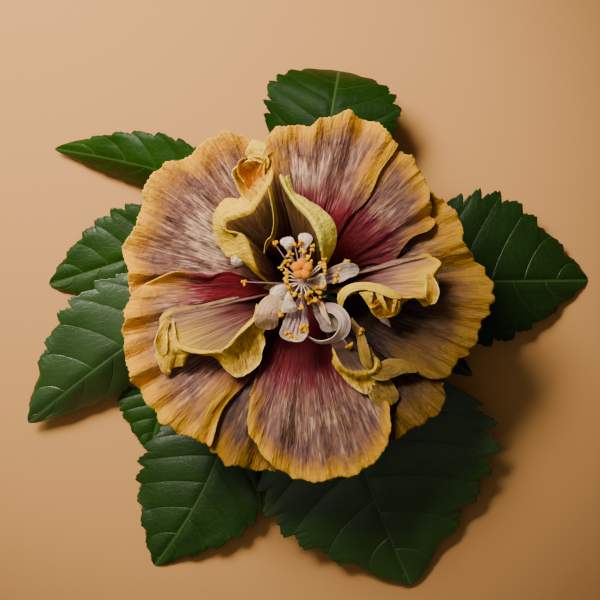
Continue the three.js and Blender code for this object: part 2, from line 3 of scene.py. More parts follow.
import bpy
import numpy as np
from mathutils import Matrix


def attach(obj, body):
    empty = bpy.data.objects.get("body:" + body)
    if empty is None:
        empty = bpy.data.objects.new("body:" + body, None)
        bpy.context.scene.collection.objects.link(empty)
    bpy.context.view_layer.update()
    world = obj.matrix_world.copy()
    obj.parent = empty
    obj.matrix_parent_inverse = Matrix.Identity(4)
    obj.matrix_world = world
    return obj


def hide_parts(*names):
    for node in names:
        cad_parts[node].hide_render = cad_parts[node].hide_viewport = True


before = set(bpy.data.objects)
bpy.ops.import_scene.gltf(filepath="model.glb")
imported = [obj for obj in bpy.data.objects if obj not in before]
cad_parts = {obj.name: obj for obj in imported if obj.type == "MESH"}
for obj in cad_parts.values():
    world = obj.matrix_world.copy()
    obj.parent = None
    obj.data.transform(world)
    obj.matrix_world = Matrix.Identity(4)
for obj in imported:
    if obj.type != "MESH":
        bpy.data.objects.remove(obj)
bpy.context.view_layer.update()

# ---------------------------------------------------------------------------------------------
# Outer petals: eight broad fans of thin, soft tissue that grow from under the receptacle and
# overlap in a shallow bowl. Each is pleated along its veins, ruffled at its margin and lies on
# the petals below it. They are burgundy at the throat, mauve over the blade and gold at the rim.

MM = 0.001
BLOOM_AXIS = np.array([-1.8598, 18.1043, -0.0357])  # millimetres, where the bloom's axis stands
CLAW_RADIUS = 5.7
CLAW_HEIGHT = 32
BLOOM_RISE = 28
RISE_LENGTH = 22
PETAL_SPACING = 1.6
CLAW_SPREAD = 17
CLAW_END = 12
BLADE_START = 28
SIDE_DROP = 2.2
FADE = 9
PETAL_TISSUE = 0.45  # thickness
FRAY = (0.9, 0.35)  # how far the margin wanders in long and in short waves
WAVER = 3.2  # how far a side edge wanders
CREASE = 0.4
VEIN = 0.1
FRILL = (2.5, 0.5)  # height of the margin's long and short frills
FRILL_START = (0.58, 0.85)  # shares of the petal's length where they begin
THROAT_FEATHER = (14, 16)  # how far in and out the throat's colour fades
FULL_GOLD = 0.98  # 1 is kept for the bright line along the rim
RIM_LINE = 0.4

# Azimuth and half spread in degrees, level above the lowest petals, ruffle height, waves over the
# width and their phase, how far in the gold and how far out the burgundy reaches, how much painted
# shade darkens it from side to side and the radii of the margin. Cream patches: place across and
# out, their two sizes and strength. Folds: place across, width and height.
OUTER_PETALS = {
    "petal_upper_left": dict(
        azimuth=149.5, spread=46.5, level=0, ruffle=3.2, waves=2.5, phase=0.2, gold=19, throat=24,
        painted_shade=[0.0, 0.0], rim=[55, 71, 78.5, 80, 79, 84, 85.5, 82, 81, 84, 80, 78.8, 74, 66],
        cream=[(0.08, 50, 0.22, 11, 0.8), (0.3, 43, 0.2, 7, 0.6), (-0.2, 56, 0.2, 7, 0.4),
               (0.5, 60, 0.2, 6, 0.3)],
        folds=[(-0.5, 0.09, -3.0), (-0.34, 0.09, 1.6), (-0.7, 0.1, 1.5), (0.66, 0.08, -2.4),
               (0.1, 0.14, 1.2), (0.82, 0.09, 1.5)]),
    "petal_low_right": dict(
        azimuth=-44, spread=26, level=0, ruffle=2.2, waves=1.5, phase=0.6, gold=34, throat=26,
        painted_shade=[1.0, 1.0], rim=[76, 77, 79.6, 79.6, 81, 82.3, 76.5, 74.7, 72, 68],
        cream=[(0.1, 56, 0.2, 8, 0.4)], folds=[(0.2, 0.16, -2.4), (-0.2, 0.16, 1.5)]),
    "petal_low_left": dict(
        azimuth=240, spread=28, level=0, ruffle=2.5, waves=2, phase=0.1, gold=22, throat=28,
        painted_shade=[0.75, 0.85], rim=[76, 82, 83, 82.5, 84.6, 86, 84.8, 83.2, 82],
        cream=[(0.05, 54, 0.25, 10, 0.5)],
        folds=[(-0.05, 0.15, -3.4), (0.25, 0.15, 2.0), (-0.35, 0.15, 1.5)]),
    "petal_right": dict(
        azimuth=2, spread=42, level=1, ruffle=3.2, waves=3, phase=0.4, gold=36, throat=22,
        painted_shade=[1.0, 0.9, 0.66, 0.5], rim=[58, 74, 76, 80.5, 80.5, 84, 83.7, 78, 74, 76, 74.7, 71, 68],
        cream=[(-0.45, 50, 0.15, 6, 0.5), (0.35, 52, 0.2, 8, 0.4)],
        folds=[(-0.6, 0.09, -2.6), (-0.3, 0.1, -2.2), (0.12, 0.1, -2.4), (0.5, 0.1, -2.2),
               (0.31, 0.1, 1.8), (-0.1, 0.12, 1.6), (-0.45, 0.07, 1.2)]),
    "petal_left": dict(
        azimuth=204, spread=34, level=1, ruffle=3, waves=2.5, phase=0.7, gold=24, throat=52,
        painted_shade=[0.0, 0.25], rim=[46, 70, 78.7, 82.6, 85, 87.3, 87.8, 87.3, 87.8, 84.6, 82.8],
        cream=[(-0.35, 52, 0.25, 7, 0.5), (0.5, 52, 0.25, 9, 0.3)],
        folds=[(-0.68, 0.11, -2.4), (-0.2, 0.1, -2.4), (0.3, 0.11, -2.2), (0.62, 0.11, -2.4),
               (0.8, 0.09, 2.0), (0.05, 0.12, 1.4)]),
    "petal_upper_right": dict(
        azimuth=41.5, spread=20.5, level=2, ruffle=2.6, waves=1.5, phase=0.3, gold=15, throat=46,
        painted_shade=[0.6, 0.4], rim=[50, 63, 66.6, 69, 72.5, 74, 75.5, 74, 72],
        cream=[(0.12, 49, 0.22, 4, 1.0), (0.35, 46, 0.2, 3, 0.7)],
        folds=[(0.3, 0.22, -2.6), (-0.3, 0.2, 1.6), (0.66, 0.18, -1.8), (-0.65, 0.18, -1.6)]),
    "petal_bottom": dict(
        azimuth=-82.5, spread=36.5, level=2, ruffle=3, waves=3, phase=0, gold=15, throat=46,
        painted_shade=[0.35, 0.4], rim=[54, 70, 80, 86, 86.5, 86, 81, 68, 53],
        cream=[(0.05, 58, 0.5, 9, 0.3), (-0.45, 50, 0.15, 8, 0.35)],
        folds=[(-0.66, 0.07, -3.4), (-0.46, 0.1, 2.4), (0.5, 0.11, 2.2), (0.05, 0.09, -2.2),
               (-0.2, 0.1, -1.8), (0.3, 0.1, -2.0)]),
    "petal_top": dict(
        azimuth=81.5, spread=24.5, level=3, ruffle=3, waves=2, phase=0.5, gold=17, throat=43,
        painted_shade=[0.15, 0.0], rim=[76, 80, 80, 81, 78, 73, 73, 72.5, 67],
        cream=[(0.45, 51, 0.2, 9, 0.8), (0.1, 50, 0.2, 9, 0.6), (0.75, 48, 0.15, 7, 0.5),
               (-0.2, 60, 0.3, 5, 0.3)],
        folds=[(-0.42, 0.16, -2.8), (-0.15, 0.15, 1.4), (0.08, 0.12, -1.6), (0.62, 0.15, -1.8),
               (-0.75, 0.15, 1.6)]),
}


def smooth_step(low, high, x):
    share = np.clip((x - low) / (high - low), 0, 1)
    return share * share * (3 - 2 * share)


def along(values, position):
    """Reads a list of evenly spaced values by a Catmull-Rom curve, position running from 0 to 1."""
    values = np.asarray(values, float)
    last = len(values) - 1
    place = np.clip(position, 0, 1) * last
    index = np.minimum(place.astype(int), last - 1)
    f = place - index
    a, b, c, d = (values[np.clip(index + step, 0, last)] for step in (-1, 0, 1, 2))
    return b + 0.5 * f * (c - a + f * (2 * a - 5 * b + 4 * c - d + f * (3 * (b - c) + d - a)))


def ripple(x, seed, waves=5):
    """A smooth uneven wave over x that repeats nowhere, between about -1 and 1."""
    dice = np.random.default_rng(seed)
    total = 0 * x
    for k in range(waves):
        total = total + np.sin(x * dice.uniform(0.5, 1.5) + dice.uniform(0, 2 * math.pi))
    return total / math.sqrt(2 * waves)


def claw_height(radius):
    return CLAW_HEIGHT + BLOOM_RISE * (1 - np.exp((CLAW_RADIUS - radius) / RISE_LENGTH))


def spread_at(petal, radius):
    return CLAW_SPREAD + (petal["spread"] - CLAW_SPREAD) * smooth_step(CLAW_END, BLADE_START, radius)


def own_height(petal, t, radius):
    lift = petal["level"] * PETAL_SPACING * smooth_step(CLAW_RADIUS, 2.5 * CLAW_RADIUS, radius)
    reach = radius / along(petal["rim"], (t + 1) / 2)
    wave = 0.5 - 0.5 * np.cos(math.pi * petal["waves"] * (t + 1) + 2 * math.pi * petal["phase"])
    height = claw_height(radius) + lift + petal["ruffle"] * wave * reach ** 3 - SIDE_DROP * t * t * reach
    for centre, width, depth in petal["folds"]:
        height = height + depth * np.exp(-((t - centre) / width) ** 2) * smooth_step(0.25, 0.85, reach)
    return height


def petal_height(petal, angle, radius):
    """Height at an angle and radius, lying over every lower petal that is beneath."""
    across = (angle - petal["azimuth"]) / spread_at(petal, radius)
    height = own_height(petal, np.clip(across, -1, 1), radius)
    for lower in OUTER_PETALS.values():
        if lower["level"] >= petal["level"]:
            continue
        spread = spread_at(lower, radius)
        t = (np.mod(angle - lower["azimuth"] + 180, 360) - 180) / spread
        edge = np.clip(t, -1, 1)
        sideways = np.maximum(0, np.abs(t) - 1) * np.radians(spread) * radius
        beyond = np.maximum(0, radius - along(lower["rim"], (edge + 1) / 2))
        spacing = PETAL_SPACING * smooth_step(CLAW_RADIUS, 2.5 * CLAW_RADIUS, radius)
        resting = petal_height(lower, lower["azimuth"] + edge * spread, radius - beyond) + spacing
        hold = 1 - smooth_step(FADE / 6, FADE, np.hypot(sideways, beyond))
        height = np.maximum(height, height + (resting - height) * hold)
    return height


def tissue_sheet(name, columns, rows, grow, thickness, underside=False):
    """A thin sheet: grow(u, v) gives its middle surface, its pattern place and its colour zones."""
    bpy.ops.object.select_all(action="DESELECT")
    bpy.ops.mesh.primitive_grid_add(x_subdivisions=columns, y_subdivisions=rows, size=1, calc_uvs=True)
    piece = bpy.context.object
    piece.name = name
    mesh = piece.data
    mesh.name = name
    flat = np.empty(3 * len(mesh.vertices))
    mesh.vertices.foreach_get("co", flat)
    flat = flat.reshape(-1, 3)
    points, pattern, zones = grow(flat[:, 0] + 0.5, flat[:, 1] + 0.5)
    mesh.vertices.foreach_set("co", ((points + BLOOM_AXIS) * MM).ravel())
    corner = np.empty(len(mesh.loops), int)
    mesh.loops.foreach_get("vertex_index", corner)
    mesh.uv_layers[0].name = "UVMap"
    mesh.uv_layers[0].data.foreach_set("uv", pattern[corner].ravel())
    painted = mesh.color_attributes.new(name="zones", type="FLOAT_COLOR", domain="POINT")
    painted.data.foreach_set("color", zones.ravel())
    mesh.update()
    wall = piece.modifiers.new("Wall", "SOLIDIFY")
    wall.thickness = thickness * MM
    wall.offset = 0
    if underside:
        wall.material_offset = 1
    bpy.ops.object.modifier_apply(modifier="Wall")
    bpy.ops.object.shade_smooth()
    return piece


def crumple(x, y, seed, waves=14):
    """An uneven surface over x and y in millimetres: long creases mostly along y, about 1 high."""
    dice = np.random.default_rng(seed)
    total = 0 * x
    for k in range(waves):
        across = dice.uniform(0.25, 0.9)
        total = total + np.sin(x * across + y * dice.uniform(-0.12, 0.12) + dice.uniform(0, 2 * math.pi))
    return total / math.sqrt(2 * waves)


def covered(petal, angle, radius):
    """Where a higher petal lies on this one, 1, fading to 0 a few millimetres outside it."""
    share = 0 * radius
    for upper in OUTER_PETALS.values():
        if upper["level"] > petal["level"]:
            spread = spread_at(upper, radius)
            t = (np.mod(angle - upper["azimuth"] + 180, 360) - 180) / spread
            sideways = (np.abs(t) - 1) * np.radians(spread) * radius
            beyond = radius - along(upper["rim"], (np.clip(t, -1, 1) + 1) / 2)
            share = np.maximum(share, 1 - smooth_step(0, 5, np.maximum(sideways, beyond)))
    return share


def outer_petal(name, petal, seed):
    arc = 60 * math.radians(2 * petal["spread"])  # millimetres of width at mid blade

    def grow(u, v):
        t = 2 * u - 1
        frayed = FRAY[0] * ripple(arc * u * 0.9, seed, 7) + FRAY[1] * ripple(arc * u * 3.1, seed + 5, 7)
        rim = along(petal["rim"], u) + frayed
        reach = v ** 1.3
        radius = CLAW_RADIUS + (rim - CLAW_RADIUS) * reach
        waver = np.where(t > 0, ripple(radius * 0.16, seed + 90, 4), ripple(radius * 0.16, seed + 95, 4))
        waver = WAVER * waver * np.abs(t) ** 3 * smooth_step(25, 45, radius)
        angle = petal["azimuth"] + t * spread_at(petal, radius) + np.degrees(waver / radius)
        height = petal_height(petal, angle, radius)
        creases = CREASE * crumple(arc * u * 1.3, radius, seed + 50) * smooth_step(0.2, 0.6, reach)
        veins = VEIN * crumple(arc * u * 4.5, 2 * radius, seed + 60) * smooth_step(0.2, 0.6, reach)
        near_rim, at_rim = (smooth_step(start, 1, reach) for start in FRILL_START)
        frill = (1 + ripple(arc * u * 0.5, seed + 70)) * FRILL[0] * near_rim ** 2
        frill = frill + (1 + ripple(arc * u * 1.5, seed + 80)) * FRILL[1] * at_rim
        frill = frill * (1 - covered(petal, angle, radius))
        turned = np.radians(angle)
        surface = height + creases + veins + frill
        points = np.stack([radius * np.cos(turned), radius * np.sin(turned), surface], 1)
        sideways = (1 - np.abs(t)) * np.radians(spread_at(petal, radius)) * radius
        edge = np.minimum(rim - radius, sideways + 6 * (1 - smooth_step(30, 60, radius)))
        cream = sum(much * np.exp(-((t - at) / wide) ** 2 - ((radius - r) / tall) ** 2)
                    for at, r, wide, tall, much in petal["cream"])
        red_to, red_end = petal["throat"] - THROAT_FEATHER[0], petal["throat"] + THROAT_FEATHER[1]
        throat = 1 - smooth_step(red_to, red_end, radius)
        gold = FULL_GOLD * (1 - smooth_step(1, petal["gold"], edge)) * smooth_step(36, 60, radius)
        gold = np.where((edge < RIM_LINE) & (radius > 55), 1, gold)
        # The fourth zone is the painted shade, read from side to side.
        zones = np.stack([throat, gold, np.clip(cream, 0, 1), along(petal["painted_shade"], u)], 1)
        return points, np.stack([turned * 0.6 + seed, radius * 0.01], 1), zones

    return tissue_sheet(name + "_blade", 170, 110, grow, PETAL_TISSUE)


def linear(colour):
    """An sRGB hex colour as the linear values that a shader socket takes."""
    parts = [int(colour[i:i + 2], 16) / 255 for i in (1, 3, 5)]
    return [p / 12.92 if p <= 0.04045 else ((p + 0.055) / 1.055) ** 2.4 for p in parts] + [1]


def add_node(tree, kind, inputs=None, **settings):
    """Adds one node, with its settings and its sockets' values or feeds."""
    made = tree.nodes.new(kind)
    for key, value in settings.items():
        setattr(made, key, value)
    for key, value in (inputs or {}).items():
        if isinstance(value, bpy.types.NodeSocket):
            tree.links.new(value, made.inputs[key])
        else:
            made.inputs[key].default_value = value
    return made


def blank_material(name):
    """A new material without nodes, and its node tree."""
    material = bpy.data.materials.new(name)
    material.use_nodes = True
    material.node_tree.nodes.clear()
    return material, material.node_tree


def sums_in(tree):
    """A function that adds one arithmetic node to this tree and gives its result."""
    def math_node(operation, first, second=0.0, third=0.0, clamp=False):
        inputs = {0: first, 1: second, 2: third}
        return add_node(tree, "ShaderNodeMath", inputs, operation=operation, use_clamp=clamp).outputs[0]

    return math_node


def mixed(tree, amount, first, second):
    inputs = {"Factor": amount, 6: first, 7: second}
    return add_node(tree, "ShaderNodeMix", inputs, data_type="RGBA").outputs[2]


def scaled(tree, colour, factor):
    inputs = {0: colour, "Scale": factor}
    return add_node(tree, "ShaderNodeVectorMath", inputs, operation="SCALE").outputs["Vector"]


def mapped(tree, value, low, high, to_low=0.0, to_high=1.0, shape="LINEAR"):
    """The result runs from to_low to to_high while the value runs from low to high."""
    inputs = {"Value": value, "From Min": low, "From Max": high, "To Min": to_low, "To Max": to_high}
    return add_node(tree, "ShaderNodeMapRange", inputs, interpolation_type=shape).outputs["Result"]


def cloudy(tree, place, scale, detail=2.0):
    inputs = {"Vector": place, "Scale": scale, "Detail": detail}
    return add_node(tree, "ShaderNodeTexNoise", inputs).outputs["Fac"]


def surface(tree, body, relief, strength, distance, sockets):
    """The shader and the output of a material: its colour, its fine relief and the other sockets."""
    bump = add_node(tree, "ShaderNodeBump", {"Height": relief, "Strength": strength, "Distance": distance})
    sockets = {"Base Color": body, "Normal": bump.outputs["Normal"], **sockets}
    shader = add_node(tree, "ShaderNodeBsdfPrincipled", sockets)
    add_node(tree, "ShaderNodeOutputMaterial", {"Surface": shader.outputs["BSDF"]})


def coat(piece, *materials):
    piece.data.materials.clear()
    for material in materials:
        piece.data.materials.append(material)


# The noises in a petal, each finer across the veins than along them: millimetres and detail.
PETAL_GRAIN = {"hair": (0.6, 9, 2.0), "vein": (1.3, 14, 2.0), "streak": (3.2, 18, 4.0),
               "crepe": (2.2, 3.6, 3.0), "patch": (7, 11, 6.0)}


def petal_tissue(name, face, blush, pale, margin, amber, rim, cream, streak, throat, heart, vein,
                 roughness=0.6):
    """Petal: soft, faintly velvety tissue with feathered zones that run out along its veins."""
    material, tree = blank_material(name)
    math_node = sums_in(tree)
    zones = add_node(tree, "ShaderNodeAttribute", attribute_name="zones")
    zone = add_node(tree, "ShaderNodeSeparateColor", {"Color": zones.outputs["Color"]})
    painted_shade = zones.outputs["Alpha"]
    place = add_node(tree, "ShaderNodeUVMap", uv_map="UVMap").outputs["UV"]
    noise = {}
    for kind, (across, length, detail) in PETAL_GRAIN.items():
        stretch = (100 / across, 100 / length, 1)
        stretched = add_node(tree, "ShaderNodeMapping", {"Vector": place, "Scale": stretch})
        noise[kind] = add_node(tree, "ShaderNodeTexNoise",
                               {"Vector": stretched.outputs["Vector"], "Scale": 1.0, "Detail": detail,
                                "Roughness": 0.6, "Distortion": 0.3}).outputs["Fac"]

    def blend(amount, first, second):
        return mixed(tree, amount, first, second)

    def ramp(value, low, high):
        return mapped(tree, value, low, high, shape="SMOOTHSTEP")

    def feathered(value, strength, low, high):
        """A zone's edge drawn out into streaks along the veins."""
        both = math_node("ADD", noise["vein"], noise["streak"])
        moved = math_node("SUBTRACT", math_node("MULTIPLY_ADD", both, strength, value), strength)
        return ramp(moved, low, high)

    fine = math_node("MULTIPLY_ADD", ramp(noise["hair"], 0.4, 0.6), 0.6, 0.4)
    grain = math_node("MULTIPLY_ADD", noise["crepe"], 0.5, math_node("MULTIPLY", noise["patch"], 0.5))
    body = blend(ramp(grain, 0.4, 0.6), linear(blush), linear(face))
    hairline = math_node("MULTIPLY", ramp(noise["vein"], 0.5, 0.64), math_node("MULTIPLY", fine, 0.7))
    body = blend(hairline, body, linear(pale))
    gold = feathered(zone.outputs["Green"], 0.9, 0.05, 0.95)
    brink = ramp(math_node("MULTIPLY_ADD", noise["vein"], 0.5, zone.outputs["Green"]), 0.95, 1.3)
    body = blend(gold, body, blend(brink, linear(amber), linear(margin)))
    # The third zone mixes in the cream colour: real cream patches on the outer petals and petaloids, but
    # painted shade and glow in the hollows of the inner petals and folds, whose cream colour is deep orange
    # or brown.
    mottle = math_node("MULTIPLY_ADD", ramp(noise["crepe"], 0.4, 0.58), 0.5, 0.5)
    light = math_node("MULTIPLY", feathered(zone.outputs["Blue"], 1.7, 0.2, 0.85),
                      math_node("MULTIPLY", fine, mottle))
    body = blend(light, body, linear(cream))
    dark = math_node("MULTIPLY_ADD", ramp(noise["streak"], 0.47, 0.36), 0.5,
                     math_node("MULTIPLY", ramp(noise["hair"], 0.47, 0.36), 0.6))
    hidden = math_node("MAXIMUM", math_node("MULTIPLY", gold, 0.6), math_node("MULTIPLY", light, 0.8))
    dark = math_node("MULTIPLY", dark, math_node("SUBTRACT", 1.0, hidden), clamp=True)
    body = blend(dark, body, linear(streak))
    flush = math_node("MULTIPLY", ramp(zone.outputs["Red"], 0.0, 0.45), 0.3)
    body = blend(flush, body, linear(throat))
    red = feathered(zone.outputs["Red"], 1.1, 0.38, 0.8)
    core = ramp(zone.outputs["Red"], 0.7, 1.0)
    body = blend(red, body, blend(core, linear(throat), linear(heart)))
    bright = math_node("MULTIPLY", ramp(noise["hair"], 0.54, 0.64),
                       math_node("MULTIPLY_ADD", core, -0.7, 0.75))
    body = blend(math_node("MULTIPLY", bright, ramp(zone.outputs["Red"], 0.02, 0.25)), body, linear(vein))
    body = blend(ramp(zone.outputs["Green"], FULL_GOLD + 0.005, 1.0), body, linear(rim))
    # Painted shade: the zones' fourth value darkens the whole colour by up to 85 percent.
    body = scaled(tree, body, math_node("MULTIPLY_ADD", painted_shade, -0.85, 1.0))
    relief = math_node("MULTIPLY_ADD", noise["streak"], 1.5, noise["hair"])
    relief = math_node("MULTIPLY_ADD", noise["crepe"], 1.6, relief)
    surface(tree, body, relief, 0.7, 0.0009,
            {"Roughness": roughness, "Specular IOR Level": 0.2, "Subsurface Weight": 0.1,
             "Subsurface Scale": 0.001, "Subsurface Radius": (1.0, 0.5, 0.2)})
    return material


# Gold-rimmed mauve petal: matt and soft, and the streaks follow its veins.
gold_mauve_petal = petal_tissue(
    "gold_mauve_petal", face="#9A6C54", blush="#785452", pale="#C8A48E", margin="#F6B400", amber="#CC8C2C",
    rim="#E8BC38", cream="#F2D0A8", streak="#43261E", throat="#76102A", heart="#660616", vein="#C08A84")

for number, (name, petal) in enumerate(OUTER_PETALS.items()):
    blade = outer_petal(name, petal, number + 1)
    coat(blade, gold_mauve_petal)
    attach(blade, "root")
    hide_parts(name)

# ---------------------------------------------------------------------------------------------
# Inner petals: five smaller petals that stand up from the receptacle inside the others. Their
# faces are mauve-brown, and their yellow margins roll outwards in deep ruffles, which show the
# waxy golden back.

INNER_CLAW_RADIUS = 6
INNER_CLAW_HEIGHT = 42
MARGIN_ROUNDING = -1  # a dip below zero: the margin bulges a little as it rolls over
CREST = 0.5  # where the crest stands on the way from the foot, 0, to the margin's edge, 1
CREST_BLUR = 0.015
CREST_HIGHLIGHT = 0.009  # half width of the painted highlight along the crest
RIB_SPACING = 5.5
BLADE_LENGTH = 26
MARGIN_LINE = 0.45

# The angles of the foot, how high the waist stands, millimetres of frill, how much painted shade
# darkens the face and how much painted shade deepens the frill's hollows, how golden the face
# (wash) and the rolled margin (roll) are from one side to the other. Each rib: the crest where the
# margin turns over, the margin's edge and, where it isn't plain, how deep the surface dips between
# them.
INNER_PETALS = {
    "inner_petal_upper_left": dict(
        claw=[172, 112], bulge=0.62, frill=0.9, painted_shade=0.55, hollow_shade=0.2, wash=[0.25, 0.25],
        roll=[0.98, 0.98],
        ribs=[[-15, 2, 58, -16, 2, 57], [-21, 8, 72, -25, 9, 67], [-24, 16, 77, -34, 14, 69],
              [-27, 23, 80, -39, 20, 69], [-34, 25, 81, -41, 27, 70], [-35, 29, 81, -40, 34, 71],
              [-30, 31, 83, -36, 39, 73], [-24, 33, 84, -29, 40, 76], [-21, 37, 84, -31, 47, 81, 6],
              [-18, 42, 84, -32, 52, 82, 11], [-15, 47, 84, -25, 56, 83, 12],
              [-14, 51, 83, -17, 58, 82, 6]]),
    "inner_petal_upper_right": dict(
        claw=[98, 44], bulge=0.62, frill=0.3, painted_shade=0.35, hollow_shade=0.0, wash=[0.05, 0.05], roll=[0.98, 0.98],
        ribs=[[-11, 48, 83, -7, 50, 80], [-8, 42, 84, -5, 43, 80], [-4, 36, 85, 0, 39, 81],
              [1, 31, 86, 6, 36, 80], [4, 26, 86, 12, 30, 79], [6, 21, 85, 14, 23, 77],
              [7, 16, 81, 12, 15, 75], [8, 11, 74, 10, 11, 71]]),
    "inner_petal_right": dict(
        claw=[-36, 22], bulge=0.8, frill=1.5, painted_shade=0.1, hollow_shade=0.45,
        wash=[0.5, 0.3, 0.2, 0.25, 0.4, 0.85, 0.95, 0.5, 0, 0],
        roll=[0.98, 0.98, 0.98, 0.98, 0.98, 0.98, 0.98, 0.98, 0.1, 0],
        ribs=[[14, -2, 70, 15, -9, 64], [20, 1, 76, 19, -4, 69], [27, 2, 79, 24, -2, 71],
              [33, 1, 79, 30, -11, 67, 3], [36, -1, 79, 34, -13, 66, 5], [39, -2, 78, 41, -12, 67, 5],
              [42, -4, 77, 44, -6, 71], [47, -4, 77, 49, -5, 71], [51, -4, 77, 56, -7, 69, 3],
              [53, 2, 77, 59, 0, 69, 3], [56, 8, 77, 59, 6, 71], [58, 11, 76, 60, 10, 73],
              [53, 13, 75, 55, 14, 73], [42, 11, 74, 43, 13, 72], [30, 8, 69, 30, 9, 67],
              [20, 4, 61, 20, 5, 60]]),
    "inner_petal_low_left": dict(
        claw=[236, 188], bulge=0.8, frill=1.7, painted_shade=0.0, hollow_shade=0.25,
        wash=[0.3, 0.6, 0.8, 0.8, 0.8, 0.95, 0.95, 0.5, 0.1, 0],
        roll=[0.98, 0.98, 0.98, 0.98, 0.98, 0.98, 0.98, 0.98, 0.5, 0.1],
        ribs=[[-19, -9, 60, -18, -19, 63], [-23, -13, 70, -18, -25, 65, 3],
              [-26, -16, 71, -20, -33, 64, 5], [-29, -19, 71, -25, -38, 64, 5],
              [-33, -24, 70, -31, -40, 64, 3], [-36, -27, 70, -37, -35, 65], [-41, -28, 71, -42, -30, 67],
              [-47, -28, 72, -49, -30, 69], [-53, -26, 73, -56, -33, 66], [-57, -24, 73, -61, -39, 64],
              [-61, -22, 73, -67, -30, 65], [-62, -18, 73, -66, -22, 68], [-61, -14, 72, -64, -12, 70],
              [-55, -11, 71, -57, -9, 69], [-44, -9, 67, -45, -7, 66], [-29, -5, 60, -30, -4, 59]]),
    "inner_petal_low_right": dict(
        claw=[-74, -46], bulge=0.8, frill=1.2, painted_shade=0.9, hollow_shade=0.2, wash=[0.5, 0.3, 0.2, 0.3, 0.4],
        roll=[0.98, 0.98, 0.98, 0.98, 0.6],
        ribs=[[13, -25, 64, 11.5, -28, 63], [14, -29, 68, 12.5, -33, 65], [15.5, -32.5, 70, 14, -36, 66],
              [17.5, -35.5, 71, 17, -40, 65, 2], [20, -36.5, 71, 21, -44, 65, 3],
              [23, -36.8, 71, 27, -47.6, 65, 3], [26.5, -36.4, 71, 30.5, -45, 65, 2],
              [29.5, -35.4, 70, 32.5, -39.5, 66], [30.5, -33, 69, 33.5, -34, 68],
              [28, -29, 66, 30, -28, 65], [24, -24, 62, 25, -22.5, 61]]),
}


def inner_point(petal, u, v):
    """u runs over the ribs, and v from the foot over the crest to the margin's edge."""
    rib = [along([row[k] for row in petal["ribs"]], u) for k in range(6)]
    dip = along([row[6] if len(row) > 6 else MARGIN_ROUNDING for row in petal["ribs"]], u)
    claw = np.radians(petal["claw"][0] + (petal["claw"][1] - petal["claw"][0]) * u)
    foot = [INNER_CLAW_RADIUS * np.cos(claw), INNER_CLAW_RADIUS * np.sin(claw), INNER_CLAW_HEIGHT + 0 * u]
    points = []
    for k in range(3):
        crest, edge = rib[k], rib[k + 3]
        waist = foot[k] + (crest - foot[k]) * (petal["bulge"] if k == 2 else 0.5)
        middle = (crest + edge) / 2 - (dip if k == 2 else 0)
        stations = np.array([foot[k], waist, crest, middle, edge])
        place = np.clip(v, 0, 1) * 4
        index = np.minimum(place.astype(int), 3)
        f = place - index
        a, b, c, d = (stations[np.clip(index + step, 0, 4), np.arange(len(u))] for step in (-1, 0, 1, 2))
        points.append(b + 0.5 * f * (c - a + f * (2 * a - 5 * b + 4 * c - d + f * (3 * (b - c) + d - a))))
    return np.stack(points, 1)


def inner_petal(name, petal, seed):
    width = RIB_SPACING * len(petal["ribs"])

    def grow(u, v):
        points = inner_point(petal, u, v)
        step = 1e-3
        side = inner_point(petal, np.minimum(u + step, 1), v) - inner_point(petal, np.maximum(u - step, 0), v)
        up = inner_point(petal, u, np.minimum(v + step, 1)) - inner_point(petal, u, np.maximum(v - step, 0))
        normal = np.cross(side, up)
        normal /= np.linalg.norm(normal, axis=1)[:, None] + 1e-12
        fullness = 0.35 + 0.9 * smooth_step(-0.5, 0.8, ripple(width * u * 0.22, seed + 1))
        frill = petal["frill"] * fullness * ripple(width * u * 0.6, seed) * smooth_step(0.55, 1, v)
        frill = frill + 0.15 * petal["frill"] * ripple(width * u * 2.2, seed + 3) * smooth_step(0.75, 1, v)
        veins = 0.08 * crumple(width * u * 2.4, 20 * v, seed + 9) * smooth_step(0.1, 0.4, v)
        points = points + normal * (frill * along(petal["roll"], u) + veins)[:, None]
        throat = 1 - smooth_step(0.12, 0.42, v)
        low, high = along(petal["wash"], u), along(petal["roll"], u)
        rolled = smooth_step(CREST - CREST_BLUR, CREST + CREST_BLUR, v)
        gold = low * smooth_step(0.2, 0.5, v) + (high - low) * rolled
        edge = np.minimum((1 - v) * BLADE_LENGTH, (0.5 - np.abs(u - 0.5)) * width)
        # Painted highlight: a thin line in the rim colour along the crest of the smoother rolled margins.
        crest_highlight = (np.abs(v - CREST) < CREST_HIGHLIGHT) & (petal["frill"] < 1)
        rim_line = (edge < MARGIN_LINE) & (high > 0.5)
        gold = np.where(rim_line | crest_highlight, 1, np.clip(gold, 0, FULL_GOLD))
        dip = along([row[6] if len(row) > 6 else 0 for row in petal["ribs"]], u)
        # Painted shade in the hollows: where the surface dips behind the crest, and between the frills, the
        # third zone mixes in the material's cream colour, a deep orange or brown.
        shaded_hollow = smooth_step(1, 5, dip) * smooth_step(0.5, 0.6, v) * (1 - smooth_step(0.9, 0.98, v))
        hollow = smooth_step(0.1, 0.9, -ripple(width * u * 0.6, seed))
        hollow_shade = petal["hollow_shade"] * hollow * smooth_step(0.5, 0.75, v)
        shaded_hollow = np.clip(shaded_hollow + hollow_shade * (1 - smooth_step(0.85, 1, v)), 0, 1)
        # The fourth zone is the painted shade, which darkens the face up to the crest.
        zones = np.stack([throat, gold, shaded_hollow, petal["painted_shade"] * (1 - smooth_step(0.42, 0.56, v))], 1)
        return points, np.stack([u * width * 0.01 + seed, v * 0.45], 1), zones

    return tissue_sheet(name + "_blade", 240, 96, grow, PETAL_TISSUE)


